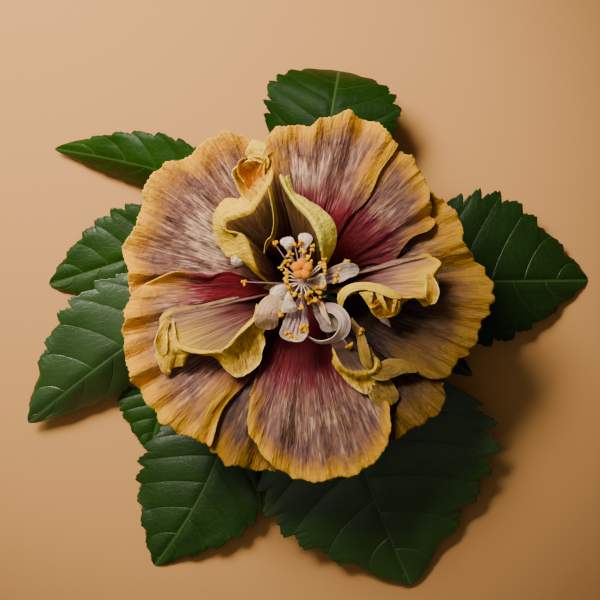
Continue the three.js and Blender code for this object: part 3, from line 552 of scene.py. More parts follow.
# Waxy rolled petals: golden or butter-yellow on the back that the roll shows, with a brown or
# mauve face below, so that the roll stands out bright and slightly shiny.
# The cream colour of these rolled petals is painted shade and glow for their hollows.
amber_roll_petal = petal_tissue(
    "amber_roll_petal", face="#8A6440", blush="#704C3C", pale="#A07C58", margin="#FFD224", amber="#F0B014",
    rim="#FFE070", cream="#B06400", streak="#8A6420", throat="#4A1420", heart="#220408", vein="#8A5048",
    roughness=0.5)
butter_roll_petal = petal_tissue(
    "butter_roll_petal", face="#6A4430", blush="#542C26", pale="#80583C", margin="#FFE650", amber="#F6DA48",
    rim="#FFF4A8", cream="#C08408", streak="#9A8A2A", throat="#3E0C18", heart="#200408", vein="#86444A",
    roughness=0.45)
# Frilled petal: mauve-brown face that warms to dull gold at a crumpled margin.
# Its dark brown cream colour is painted shade for the frill's hollows.
frilled_petal = petal_tissue(
    "frilled_petal", face="#A07860", blush="#8A6660", pale="#BC9880", margin="#EEBC28", amber="#C89C4C",
    rim="#FAE484", cream="#5E3A08", streak="#5E4024", throat="#5E1424", heart="#280408", vein="#B07A70",
    roughness=0.55)
# Inside of a deep fold: light that has passed through the petal makes it glow orange.
cup_petal = petal_tissue(
    "cup_petal", face="#A86A10", blush="#985C0C", pale="#B87C1C", margin="#D89000", amber="#C47C00",
    rim="#F6C020", cream="#A85A00", streak="#8A4A04", throat="#5A2A04", heart="#401C02", vein="#B06A10",
    roughness=0.45)
# Sunny petal: the frilled petal's mauve face with a clear yellow margin.
# Its orange cream colour is painted shade and glow for the hollows.
sunny_petal = petal_tissue(
    "sunny_petal", face="#A07A6C", blush="#8A6868", pale="#BEA094", margin="#F6C41C", amber="#D8A038",
    rim="#FFEA88", cream="#BC7000", streak="#5E4024", throat="#5E1424", heart="#280408", vein="#B07A70",
    roughness=0.5)
INNER_FINISH = {"inner_petal_upper_left": amber_roll_petal, "inner_petal_upper_right": butter_roll_petal,
                "inner_petal_right": sunny_petal}

for number, (name, petal) in enumerate(INNER_PETALS.items()):
    blade = inner_petal(name, petal, number + 21)
    coat(blade, INNER_FINISH.get(name, frilled_petal))
    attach(blade, "root")
    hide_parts(name)

# ---------------------------------------------------------------------------------------------
# Petaloids: stamens that have turned into small cream spoons of petal tissue round the column,
# each cupped along its middle and rolled at its end.

SPOON_TISSUE = 0.35

# Each: the points of its middle line, half widths and tilts in degrees along it, how far its
# edges stand up, how pale and how golden it is, and how much painted shade darkens it. What isn't
# given is 0.
PETALOIDS = {
    "petaloid_front_left": dict(
        spine=[(-2, -1, 64), (-5, -1.5, 76), (-7.3, -3, 81), (-7.2, -8, 80.5), (-7, -11, 78.5)],
        half=[1, 1.2, 1.0, 3.2, 4.0], cup=-0.8, pale=1),
    "petaloid_front": dict(
        spine=[(-1, -3, 58), (-2, -8, 67), (-3.5, -14, 72.5), (-5, -20, 75.5), (-5.6, -23.8, 77.5)],
        half=[1.5, 3, 5.2, 6, 4.6], cup=3.2, pale=0.05, gold=0.1, painted_shade=0.3),
    "petaloid_front_right": dict(
        spine=[(3, -4, 66), (7.7, -8, 76), (13.7, -9.8, 79), (17.2, -14.2, 80), (16.4, -19.6, 79),
               (11.9, -23.2, 77), (5.7, -23.8, 76), (0.5, -20.9, 75)],
        half=[1, 1.8, 2.7, 3, 3, 2.4, 1.8, 1.1], tilt=[0, 0, -25, -30, -35, -62, -72, -80], cup=0.3,
        pale=0.6, painted_shade=0.15),
    "petaloid_right": dict(
        spine=[(2, 1, 62), (8, 3.5, 74), (14, 6, 79.5), (19, 7.6, 81.5), (23.8, 8.0, 80)],
        half=[1.2, 2.4, 3.8, 3.4, 2.4], cup=1.6, painted_shade=0.45),
    "petaloid_back_left": dict(
        spine=[(-2, 4, 60), (-5, 11, 74), (-7, 16.5, 81), (-7.6, 19.6, 83), (-8, 22.3, 81.5)],
        half=[0.5, 0.7, 1.0, 2.9, 2.9], cup=-1.0, pale=1),
    "petaloid_back": dict(
        spine=[(-1, 4, 60), (-1, 11, 74), (-0.3, 17, 82), (0, 21, 84), (0.4, 24, 82)],
        half=[0.5, 0.7, 1.0, 3.0, 2.9], cup=-1.0, pale=1),
    "petaloid_left": dict(
        spine=[(-3, -1, 60), (-9, -4, 71), (-15, -8.5, 76), (-16.8, -13.5, 75.5), (-17.2, -18.5, 70)],
        half=[1.5, 3.2, 5.0, 5.6, 5.2], tilt=[0, 0, -12, -14, -10], cup=-1.2, pale=-0.3, gold=0.95),
    "petaloid_inner": dict(
        spine=[(3, -3, 62), (7, -9, 72), (10.5, -14.5, 74), (12, -19.5, 73.5)], half=[1.5, 3.6, 4.6, 3.8],
        cup=1.5, gold=0.3, painted_shade=0.65),
    "petaloid_wedge": dict(
        spine=[(1, 1, 66), (3.6, 2, 76), (6.4, 2.4, 81), (9, 3, 81.8)], half=[1, 2, 3.4, 4.2], cup=0.6,
        pale=0.9, gold=0.2),
    "petaloid_rolled": dict(
        spine=[(-3, 0, 60), (-7, -0.6, 71), (-11, -1.8, 75), (-14.5, -4.2, 74)], half=[1.2, 2.5, 3.6, 3],
        cup=-2, pale=0.5, painted_shade=0.05),
    "curl_small": dict(
        spine=[(-29.5, 9, 69), (-30.4, 11.5, 71.5), (-31.4, 14.4, 72.5)], half=[2, 2.3, 1.8], cup=0.5,
        pale=1, gold=0.2),
    "petaloid_spike": dict(
        spine=[(4, -4, 70), (6.6, -7, 77), (9, -12, 79.5), (11.3, -16.2, 79)], half=[0.8, 1.4, 1.2, 0.3],
        tilt=[0, 25, 35, 40], cup=0.2, pale=0.1, gold=1),
}

# Folds, pleats and lobes in the margins of the inner petals, which grow from their edges. They
# are given in the same way, but are fully golden where nothing else is said.
MARGIN_FOLDS = {
    "cup_funnel": dict(
        spine=[(-23.0, 36.5, 79), (-22.8, 42, 75), (-22.8, 47.5, 74), (-23.8, 53, 76), (-24.6, 57.5, 82)],
        half=[0.8, 2.8, 4.8, 6.2, 5.4], cup=7.5, pale=0.8),
    "cup_ear": dict(
        spine=[(-20, 50, 78), (-17.6, 54, 81.5), (-15.8, 57.5, 83), (-14.2, 60.2, 82)],
        half=[1.5, 2.4, 2, 0.6], tilt=[30, 40, 45, 45], cup=0.4, pale=0.2),
    "cup_flag": dict(
        spine=[(-24.2, 57.5, 79), (-22.6, 60.2, 82.3), (-21.4, 62.6, 83), (-20.6, 64.9, 81.8)],
        half=[2.8, 3.8, 4.2, 3.2], tilt=[-10, -22, -28, -15], cup=-0.9),
    "cup_ribbon": dict(
        spine=[(-25.2, 57, 83), (-20.8, 57.6, 84), (-17.5, 56, 83.6), (-16.6, 52.8, 81.6)],
        half=[1.0, 2.0, 2.2, 0.8], tilt=[14, 24, 34, 40], cup=0.5),
    "throat_fold": dict(
        spine=[(-16, 45, 84.5), (-14.3, 38, 83), (-13.3, 30.4, 79.5), (-14.3, 23.3, 75),
               (-16.8, 20.2, 72.5), (-18.2, 15.1, 69)],
        half=[1, 1.5, 1.7, 1.6, 1.2, 0.6], tilt=[-52, -58, -62, -58, -50, -45], cup=0.3, gold=0.62,
        painted_shade=0.35),
    "low_right_strip": dict(
        spine=[(20, -14, 69), (24.5, -21, 71.5), (26, -28, 72.3), (28.5, -36, 71.5)],
        half=[1.2, 1.8, 2.4, 2.2], tilt=[0, 10, 15, 10], cup=-0.5, gold=0.9, painted_shade=0.7),
    "low_right_curl": dict(
        spine=[(27, -34, 67.5), (33, -37, 67.5), (38, -36, 67), (44, -35, 66.5), (50, -37.5, 66)],
        half=[3.4, 4.2, 4.4, 3.2, 0.8], tilt=[-10, -20, -15, -20, -10], cup=-1.2, pale=0.5, gold=0.9,
        painted_shade=0.8),
    "low_right_lobe": dict(
        spine=[(29, -38, 63), (32.5, -43, 65), (35.5, -48, 65.5), (37, -53, 64.5)],
        half=[3.4, 5.6, 6.2, 5], tilt=[-6, -8, -4, 0], cup=-1.4, pale=0.7, gold=0.85, painted_shade=0.75),
    "right_band": dict(
        spine=[(15.9, -8.5, 76), (16.1, -4.5, 78.5), (18.1, -1.4, 80), (21.6, 0.4, 80.8),
               (26.1, 0.8, 81.2), (30.5, 0.2, 81.4), (34.9, -1.2, 81.2), (39.4, -3.2, 80.4),
               (42.4, -4.8, 79)],
        half=[0.6, 1.9, 1.9, 1.8, 1.7, 1.9, 2.1, 1.7, 0.4], tilt=[-15, -15], cup=-0.4, painted_shade=0.1),
    "right_funnel": dict(
        spine=[(33.6, -3.8, 77.5), (35.0, -6.4, 76.5), (35.7, -9.6, 74), (36.2, -13.1, 71.5)],
        half=[5.6, 6.6, 6.0, 4.4], cup=3.2, pale=1, painted_shade=0.3),
    "right_pleat": dict(
        spine=[(32.3, -2.0, 81), (34.0, -5.8, 80), (36.0, -9.2, 77.8), (38.0, -11.3, 75)],
        half=[1.4, 1.0, 0.6, 0.2], tilt=[0, 20, 30, 30], cup=-0.4),
    "right_small_pleat": dict(
        spine=[(39.8, -5.2, 80), (39.3, -8.3, 78), (38.5, -11.2, 75)], half=[0.9, 0.6, 0.2],
        tilt=[0, 20, 30], cup=-0.3, painted_shade=0.1),
    "right_flank": dict(
        spine=[(27.2, -1.5, 80.5), (27.9, -4.5, 79.5), (28.9, -7.8, 77), (31.8, -12.9, 72.5)],
        half=[3.2, 2.0, 0.9, 0.3], tilt=[0, 10, 20, 20], cup=-0.4),
    "right_point": dict(
        spine=[(33.5, -11.8, 68), (35.6, -14.2, 67), (38.3, -17.4, 65)], half=[1.8, 1.5, 0.2],
        tilt=[0, 10, 10], cup=0.3, pale=0.6, gold=0.3),
    "right_scroll": dict(
        spine=[(54.3, 6.0, 77.8), (56.0, 0.6, 77.2), (56.2, -4.5, 75), (55.6, -7.2, 72.5)],
        half=[1.3, 2.9, 2.8, 1.2], cup=2.6, pale=0.8, painted_shade=0.1),
    "left_band": dict(
        spine=[(-58.8, -13.7, 74.5), (-58.0, -20.0, 75.2), (-56.8, -24.8, 75.2), (-52.6, -27.2, 74.8),
               (-45.7, -28.5, 73.8), (-37.4, -27.9, 72.5)],
        half=[0.3, 0.6, 0.9, 0.9, 0.7, 0.3], tilt=[0, -10, -15, -15, -15, -15], cup=-0.3),
    "left_funnel": dict(
        spine=[(-61.2, -14.4, 75), (-63.4, -20.0, 74), (-63.9, -24.8, 72.5), (-62.8, -29.9, 70)],
        half=[1.2, 2.2, 2.8, 2.0], tilt=[0, -10, 0, 10], cup=2.4, pale=1),
    "left_point": dict(
        spine=[(-66.2, -29.0, 68.5), (-63.4, -33.3, 67), (-60.2, -37.6, 65)], half=[1.4, 2.0, 0.4],
        tilt=[-10, -20, -20], cup=-0.6),
    "left_edge": dict(
        spine=[(-21.5, -7.2, 67), (-22.6, -13.6, 72.2), (-26.3, -17.4, 73), (-30.2, -21.4, 73),
               (-33.8, -25.3, 72.3), (-37.0, -27.5, 71.6)],
        half=[0.3, 0.7, 0.65, 0.6, 0.55, 0.3], tilt=[10, 10], cup=-0.3),
}


def petaloid(name, spoon, seed):
    def grow(u, v):
        t = 2 * u - 1
        step = 1e-3
        middle, before, after = ([along([point[k] for point in spoon["spine"]], place) for k in range(3)]
                                 for place in (v, v - step, v + step))
        ahead = np.array(after) - np.array(before)
        level = np.hypot(ahead[0], ahead[1]) + 1e-9
        side = np.array([-ahead[1] / level, ahead[0] / level])
        tilt = np.radians(along(spoon.get("tilt", [0, 0]), v))
        round_off = np.sqrt(np.clip(1 - np.clip((v - 0.8) / 0.2, 0, 1) ** 2.4, 0, 1))
        half = np.maximum(along(spoon["half"], v) * round_off, 0.05)
        wave = 0.3 * ripple(10 * v + 3 * u, seed) * smooth_step(0.3, 0.6, v)
        out = half * (t + 0.06 * ripple(14 * v, seed + 4) * np.abs(t))
        rise = spoon["cup"] * t * t * smooth_step(0.2, 0.5, v) * half / max(spoon["half"])
        x = middle[0] + side[0] * (out * np.cos(tilt) - rise * np.sin(tilt))
        y = middle[1] + side[1] * (out * np.cos(tilt) - rise * np.sin(tilt))
        z = middle[2] + out * np.sin(tilt) + rise * np.cos(tilt) + wave
        pale, painted_shade = spoon.get("pale", 0), spoon.get("painted_shade", 0)
        if name in MARGIN_FOLDS:
            throat = 0 * u
            # On a fold, pale fills its middle with the material's cream colour: for the cup, amber, sunny and
            # frilled finishes a deep orange or brown, painted glow and shade inside the fold.
            pale = pale * (1 - smooth_step(0.45, 0.9, np.maximum(np.abs(t), v)))
            gold = np.where((np.abs(t) > 0.9) | (v > 0.975), 1, FULL_GOLD * spoon.get("gold", 1))
        else:
            throat = 1 - smooth_step(0.05, 0.35, v)
            margin = smooth_step(0.55, 0.95, np.maximum(np.abs(t), 0.98 * smooth_step(0.6, 1, v)))
            pale = np.clip(pale + 0.5 * margin, 0, 1) * smooth_step(0.15, 0.5, v)
            gold = np.clip(spoon.get("gold", 0) * (0.6 + 0.4 * margin), 0, FULL_GOLD)
        # The fourth zone is the painted shade, even over the whole spoon.
        zones = np.stack([throat, gold, pale, np.full_like(u, painted_shade)], 1)
        return np.column_stack([x, y, z]), np.stack([out * 0.01 + seed, v * 0.25], 1), zones

    return tissue_sheet(name + "_spoon", 24, 60, grow, SPOON_TISSUE)


# Cream petaloid: pale, thin and a little translucent, flushed pink at the foot.
cream_petaloid = petal_tissue(
    "cream_petaloid", face="#E2CAB8", blush="#CCB0A6", pale="#F6E6D4", margin="#E8B868", amber="#D4A264",
    rim="#FCE8C0", cream="#FFE8C4", streak="#B89688", throat="#7A2A40", heart="#3E0C1C", vein="#B88088",
    roughness=0.5)

SPOON_FINISH = {
    **dict.fromkeys(PETALOIDS, cream_petaloid), **dict.fromkeys(MARGIN_FOLDS, amber_roll_petal),
    **dict.fromkeys(("cup_funnel", "cup_ear", "right_funnel"), cup_petal),
    **dict.fromkeys(("low_right_strip", "low_right_curl", "low_right_lobe"), frilled_petal),
    "right_scroll": sunny_petal, "right_point": cream_petaloid}

for number, (name, spoon) in enumerate({**PETALOIDS, **MARGIN_FOLDS}.items()):
    blade = petaloid(name, spoon, number + 41)
    coat(blade, SPOON_FINISH[name])
    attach(blade, "root")
    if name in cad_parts:
        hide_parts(name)

# ---------------------------------------------------------------------------------------------
# Staminal column: the filaments are joined into a slim tube, and their free ends fan out round
# its upper half. Each carries kidney-shaped anthers, dusty with pollen.

ANTHERS = [
    (-10.2, 9.6, 84), (-8.0, 11.3, 85), (-8.4, 6.0, 84), (-8.9, 3.8, 84), (-8.4, 1.2, 83), (-7.1, -0.1, 83),
    (-4.9, -2.8, 83), (-1.8, -3.6, 83), (0.8, -3.6, 83), (2.6, -1.9, 83), (4.4, -0.1, 83), (6.1, -1.9, 82),
    (1.7, 13.5, 85), (7.0, 10.9, 84), (8.8, 12.2, 84), (7.9, 9.6, 84), (-4.5, 18.8, 84), (-2.2, 20.1, 84),
    (3.0, 17.0, 84), (8.8, 6.1, 83), (15.0, 7.9, 80), (14.1, 5.6, 80), (13.2, 3.0, 80), (18.5, 11.8, 79),
    (18.1, 9.6, 79), (-1.8, -8.1, 80), (-0.5, -17.4, 77), (0.9, -18.7, 77), (-1.4, -19.1, 77),
    (-8.5, -20.0, 77), (-6.2, -21.3, 77), (-4.0, -21.8, 77), (-11.1, -12.0, 78), (-13.3, 19.3, 80),
    (-27.4, 2.6, 80), (25.3, -19.2, 72), (19.6, -26.3, 72), (4.8, -5.4, 81), (2.2, -6.3, 81),
    (7.4, 0.3, 83), (-6.7, 14.8, 84), (-0.9, 16.2, 84.5),
]
FAN_CENTRE = (-1.8, 3.5)  # where the column ends and its last filaments leave it
FILAMENT_RADIUS = 0.38
ANTHER_SIZE = 1.75
ANTHER_LOBES = 6
ANTHER_SPREAD = 0.7


def drawn_tube(name, strands, sides=2, steps=10):
    """Round strands of tissue, each a list of (x, y, z, radius) that a smooth curve runs through."""
    curve = bpy.data.curves.new(name, "CURVE")
    curve.dimensions = "3D"
    curve.bevel_depth = MM
    curve.bevel_resolution = sides
    curve.use_fill_caps = True
    share = np.linspace(0, 1, steps + 1)
    for strand in strands:
        x, y, z, radius = (along([point[k] for point in strand], share) for k in range(4))
        spline = curve.splines.new("POLY")
        spline.points.add(steps)
        for k in range(steps + 1):
            place = (np.array([x[k], y[k], z[k]]) + BLOOM_AXIS) * MM
            spline.points[k].co = (*place, 1)
            spline.points[k].radius = radius[k]
    tube = bpy.data.objects.new(name, curve)
    bpy.context.scene.collection.objects.link(tube)
    bpy.ops.object.select_all(action="DESELECT")
    tube.select_set(True)
    bpy.context.view_layer.objects.active = tube
    bpy.ops.object.convert(target="MESH")
    tube = bpy.context.object
    bpy.ops.object.shade_smooth()
    return tube


def flesh(name, low, high, bottom, top, roughness=0.5, grain=0.6, relief=0.0001, sheen=0.0, gloss=0.5):
    """Plant flesh whose colour runs between two heights, in metres, with a fine grain in it."""
    material, tree = blank_material(name)
    place = add_node(tree, "ShaderNodeTexCoord").outputs["Object"]
    height = add_node(tree, "ShaderNodeSeparateXYZ", {"Vector": place}).outputs["Z"]
    grains = cloudy(tree, place, 1000 / grain, 3.0)
    body = mixed(tree, mapped(tree, height, low, high), linear(bottom), linear(top))
    body = scaled(tree, body, mapped(tree, grains, 0.3, 0.7, 0.72, 1.12))
    surface(tree, body, grains, 0.8, relief,
            {"Roughness": roughness, "Sheen Weight": sheen, "Specular IOR Level": gloss,
             "Subsurface Weight": 0.1, "Subsurface Scale": 0.001})
    return material


# Each point of the column: x, y, z and the radius there.
COLUMN_PATH = [(0, 0, 43.5, 2.6), (-0.5, 0.6, 54, 2.2), (-1.1, 1.6, 66, 1.9), (-1.6, 2.6, 76, 1.7),
               (-1.6, 4.6, 82, 1.3), (-1.4, 7.4, 86, 0.9)]

column = drawn_tube("column_tube", [COLUMN_PATH], 5, 30)
pale_strands, mauve_strands = [], []
for number, (x, y, z) in enumerate(ANTHERS):
    reach = math.hypot(x - FAN_CENTRE[0], y - FAN_CENTRE[1])
    low = max(58, z - 3 - 0.55 * reach)
    share = (low - 43) / 43
    root = (-1.7 * share, 3.4 * share, low, FILAMENT_RADIUS)
    bend = ((x + root[0]) / 2, (y + root[1]) / 2, low + 0.72 * (z - low) + 0.4, FILAMENT_RADIUS * 0.9)
    strands = mauve_strands if y > 12 or reach > 14 else pale_strands
    strands.append([root, bend, (x, y, z - 0.3, FILAMENT_RADIUS * 0.6)])
pale = drawn_tube("filaments_pale", pale_strands, 1)
mauve = drawn_tube("filaments_mauve", mauve_strands, 1)

bpy.ops.object.select_all(action="DESELECT")
bpy.ops.mesh.primitive_uv_sphere_add(segments=8, ring_count=6, radius=1)
kidney = bpy.context.object
for corner in kidney.data.vertices:
    x, y, z = corner.co
    corner.co = (0.62 * x * (1 + 0.2 * abs(y)), y, 0.62 * z - 0.45 * y * y)
dice = np.random.default_rng(7)
anthers = []
for x, y, z in ANTHERS:
    for lobe in range(ANTHER_LOBES):
        shift = dice.normal(0, ANTHER_SPREAD, 3) if lobe else np.zeros(3)
        place = (np.array([x, y, z]) + shift + BLOOM_AXIS) * MM
        anther = bpy.data.objects.new("anther", kidney.data.copy())
        bpy.context.scene.collection.objects.link(anther)
        anther.rotation_euler = dice.uniform(0, 2 * math.pi, 3)
        anther.scale = [ANTHER_SIZE * MM * dice.uniform(0.4, 0.7)] * 3
        anther.location = place
        anthers.append(anther)
bpy.data.objects.remove(kidney)
bpy.ops.object.select_all(action="DESELECT")
for anther in anthers:
    anther.select_set(True)
bpy.context.view_layer.objects.active = anthers[0]
bpy.ops.object.join()
bpy.ops.object.transform_apply(location=True, rotation=True, scale=True)
pollen = bpy.context.object
pollen.name = "anthers"
bpy.ops.object.shade_smooth()

# Filament flesh: smooth and moist. Pollen: matt, grainy and strongly yellow.
column_flesh = flesh("column_flesh", 0.055, 0.080, "#8A2A48", "#F2D8C4", grain=1.0)
pale_filament = flesh("pale_filament", 0.065, 0.082, "#D8A8A0", "#F8E4CC", grain=1.0)
mauve_filament = flesh("mauve_filament", 0.060, 0.084, "#7A3A56", "#B08A96", grain=1.0)
pollen_dust = flesh("pollen_dust", 0.070, 0.090, "#E89C00", "#FFC400", roughness=0.8, grain=0.35,
                    relief=0.0003, gloss=0.1)
for piece, material in ((column, column_flesh), (pale, pale_filament), (mauve, mauve_filament),
                        (pollen, pollen_dust)):
    coat(piece, material)
    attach(piece, "root")
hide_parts("staminal_column")

# ---------------------------------------------------------------------------------------------
# Stigma: five round velvety pads, each on its own short style that leaves the column's tip.

STIGMA_CENTRE = (-1.4, 8.2)
STIGMA_HEIGHT = 89.3
PAD_RADIUS = 2.35
PAD_RING = 2.6
PAPILLA = 0.00012  # metres

styles = []
pads = []
bpy.ops.object.select_all(action="DESELECT")
for k in range(5):
    turn = 2 * math.pi * k / 5 + 0.3
    x = STIGMA_CENTRE[0] + PAD_RING * math.cos(turn)
    y = STIGMA_CENTRE[1] + PAD_RING * math.sin(turn)
    styles.append([(-1.4, 6.6, 84.5, 0.5), (-1.4 + 0.3 * (x + 1.4), 7.2 + 0.3 * (y - 8), 86.6, 0.5),
                   (x, y, 88.4, 0.7)])
    place = (np.array([x, y, STIGMA_HEIGHT - 0.3 * (k % 2)]) + BLOOM_AXIS) * MM
    bpy.ops.mesh.primitive_ico_sphere_add(subdivisions=4, radius=PAD_RADIUS * MM, location=place)
    pad = bpy.context.object
    pad.scale = (1, 1, 0.82)
    pads.append(pad)
for pad in pads:
    pad.select_set(True)
bpy.context.view_layer.objects.active = pads[0]
bpy.ops.object.join()
bpy.ops.object.transform_apply(location=True, rotation=True, scale=True)
stigma = bpy.context.object
stigma.name = "stigma_pads"
co = np.empty(3 * len(stigma.data.vertices))
stigma.data.vertices.foreach_get("co", co)
co = co.reshape(-1, 3)
papillae = PAPILLA * np.sin(co[:, 0] * 9000) * np.sin(co[:, 1] * 9000 + 1) * np.sin(co[:, 2] * 9000 + 2)
centre = co.mean(axis=0)
away = (co - centre) / np.linalg.norm(co - centre, axis=1)[:, None]
stigma.data.vertices.foreach_set("co", (co + away * papillae[:, None]).ravel())
bpy.ops.object.shade_smooth()
style_tubes = drawn_tube("styles", styles, 2)

# Stigma pad: bright orange, furred with papillae, so it looks like velvet.
orange_velvet = flesh("orange_velvet", 0.086, 0.092, "#E27E00", "#F89400", roughness=0.7, grain=0.45,
                      relief=0.0002, gloss=0.05)
style_flesh = flesh("style_flesh", 0.084, 0.089, "#F0C8A8", "#F6A050", grain=1.0)
for piece, material in ((stigma, orange_velvet), (style_tubes, style_flesh)):
    coat(piece, material)
    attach(piece, "root")
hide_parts("stigma")

# ---------------------------------------------------------------------------------------------
# Calyx, receptacle and epicalyx: a downy green cup with five pointed lobes holds the claws. The
# fleshy receptacle stands in it, and seven narrow bracts curve out from its foot.

CALYX_FOOT = 22
CALYX_GAP = 1.5
SEPAL_TISSUE = 0.8
BRACTS = 7
BRACT_TISSUE = 0.5


def calyx_cup(u, v):
    turn = 2 * math.pi * u
    lobe = np.abs(np.cos(2.5 * turn)) ** 0.8
    radius = 2.4 + (7.5 + 7.5 * lobe) * v ** 0.9
    bottom = CALYX_FOOT + 1.0 + 17 * (np.clip(radius - 2.4, 0, None) / 10) ** 1.8
    z = np.minimum(bottom, claw_height(radius) - CALYX_GAP)
    z = np.where(radius < 9, CALYX_FOOT + 0.8 + (z - CALYX_FOOT - 0.8) * smooth_step(2.4, 9, radius), z)
    points = np.stack([radius * np.cos(turn), radius * np.sin(turn), z + 0.25 * np.cos(15 * turn) * v], 1)
    return points, np.stack([u, v], 1), np.stack([v, v, v, v], 1)


def bract(angle):
    out = np.array([math.cos(angle), math.sin(angle)])
    side = np.array([-out[1], out[0]])

    def grow(u, v):
        half = 1.5 * np.sin(math.pi * np.clip(v * 0.86 + 0.14, 0, 1)) ** 0.7 + 0.05
        radius = 3.2 + 12 * v
        z = CALYX_FOOT + 0.6 + 8.5 * v ** 1.6 + 0.5 * (2 * u - 1) ** 2
        flat = radius[:, None] * out + (half * (2 * u - 1))[:, None] * side
        return np.column_stack([flat, z]), np.stack([u, v], 1), np.stack([v, v, v, v], 1)

    return grow


calyx = tissue_sheet("calyx_cup", 120, 24, calyx_cup, SEPAL_TISSUE)
bracts = []
for k in range(BRACTS):
    bracts.append(tissue_sheet("bract_%d" % k, 8, 18, bract(2 * math.pi * k / BRACTS), BRACT_TISSUE))
receptacle = drawn_tube("receptacle", [[(0, 0, 22.3, 3.2), (0, 0, 26, 4.6), (0, 0, 31, 5.1), (0, 0, 38, 5.1),
                                        (0, 0, 42, 4.6), (0, 0, 43.2, 3.0)]], 6, 24)

# Downy green: a soft yellow-green with a bloom of fine hairs.
downy_green = flesh("downy_green", 0.022, 0.040, "#7C9A4A", "#9AB060", roughness=0.7, grain=0.8,
                    relief=0.00015, sheen=0.3)
for piece in (calyx, receptacle, *bracts):
    coat(piece, downy_green)
    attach(piece, "root")
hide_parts("calyx")

# ---------------------------------------------------------------------------------------------
# Pedicel and twig: the flower stalk curves up from the side of a short woody twig, which was
# trimmed square with secateurs. Its bark is grey-brown and thin, with pale breathing pores.

# Each point of a stalk: x, y, z and the radius there.
STALK_PATH = [(-1, 11, 4, 2.2), (-0.6, 9.7, 6.2, 1.9), (0, 8, 9, 1.9), (1.1, 5, 12.4, 2.25), (2, 2, 15, 2.0),
              (1.2, 0.6, 18.6, 2.1), (0, 0, 22.2, 2.6)]
TWIG_PATH = [(22.9, -86.2, 3.2, 3.15), (19.8, -71, 3.2, 3.1), (17, -56, 3.15, 3.15), (12.7, -40, 3.1, 2.9),
             (8, -24, 2.95, 2.85), (4.2, -10, 2.8, 2.7), (1, 4, 2.65, 2.6), (-3, 14.5, 2.5, 2.4),
             (-7, 24, 2.35, 2.2)]
BARK_LUMP = 0.00012  # metres

pedicel = drawn_tube("flower_stalk", [STALK_PATH], 5, 40)
twig = drawn_tube("twig_bark", [TWIG_PATH], 6, 120)
co = np.empty(3 * len(twig.data.vertices))
twig.data.vertices.foreach_get("co", co)
co = co.reshape(-1, 3)
ends = np.abs(co[:, 1] - co[:, 1].min()) > 0.002
lumps = BARK_LUMP * ripple(co[:, 1] * 900, 3) * ends
co[:, 0] += lumps
co[:, 2] = np.maximum(co[:, 2] + lumps, 0.0001)
twig.data.vertices.foreach_set("co", co.ravel())


def bark(name, dark, light, pore):
    """Young bark: grey-brown with fine lengthwise cracks and pale pores."""
    material, tree = blank_material(name)
    place = add_node(tree, "ShaderNodeTexCoord").outputs["Object"]
    grain = {"Vector": place, "Scale": (1400, 160, 1400)}
    long = add_node(tree, "ShaderNodeMapping", grain).outputs["Vector"]
    crack = cloudy(tree, long, 1.0, 4.0)
    dots = add_node(tree, "ShaderNodeTexVoronoi", {"Vector": place, "Scale": 420.0}).outputs["Distance"]
    body = mixed(tree, mapped(tree, crack, 0.35, 0.65), linear(dark), linear(light))
    body = mixed(tree, mapped(tree, dots, 0.22, 0.12), body, linear(pore))
    surface(tree, body, crack, 0.8, 0.0004, {"Roughness": 0.8})
    return material


grey_brown_bark = bark("grey_brown_bark", "#4A3C2A", "#8A7756", "#B8A884")
stalk_green = flesh("stalk_green", 0.004, 0.022, "#5E7A34", "#7C9A4A", grain=0.8)
for piece, material, node_name, slot in ((twig, grey_brown_bark, "twig", "twig_bark"),
                                         (pedicel, stalk_green, "pedicel", "stalk")):
    coat(piece, material)
    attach(piece, "root")
    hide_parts(node_name)

# ---------------------------------------------------------------------------------------------
# Leaves: broad glossy blades with coarse forward teeth, each on a round petiole from the twig.
# Sunken veins quilt the blade: one midrib with side veins that run out to the teeth.

TEETH = 8
TOOTH_DEPTH = 0.12  # of the half width
TOOTH_TIP = 0.8  # how far along its step a tooth is widest
SMALL_TOOTH = 0.22  # of a large one; three stand on each
RIGHT_TEETH_SHIFT = 0.3  # so that the teeth of the two sides don't stand in pairs
FORWARD_SWEEP = 0.34
QUILT = 0.65  # how far the blade swells between two side veins
WAVE = 1.1  # height of the margin's waves
KEEL = 0.5  # how deep the midrib lies
LEAF_TISSUE = 0.6
PETIOLE_RADIUS = 1.1
SIDE_VEINS = 6
VEIN_SWEEP = 0.16  # how far a side vein runs ahead on its way to the margin, of the blade's length
VEIN_BOW = 1.5
RIGHT_VEIN_SHIFT = 0.35  # of the step between two side veins

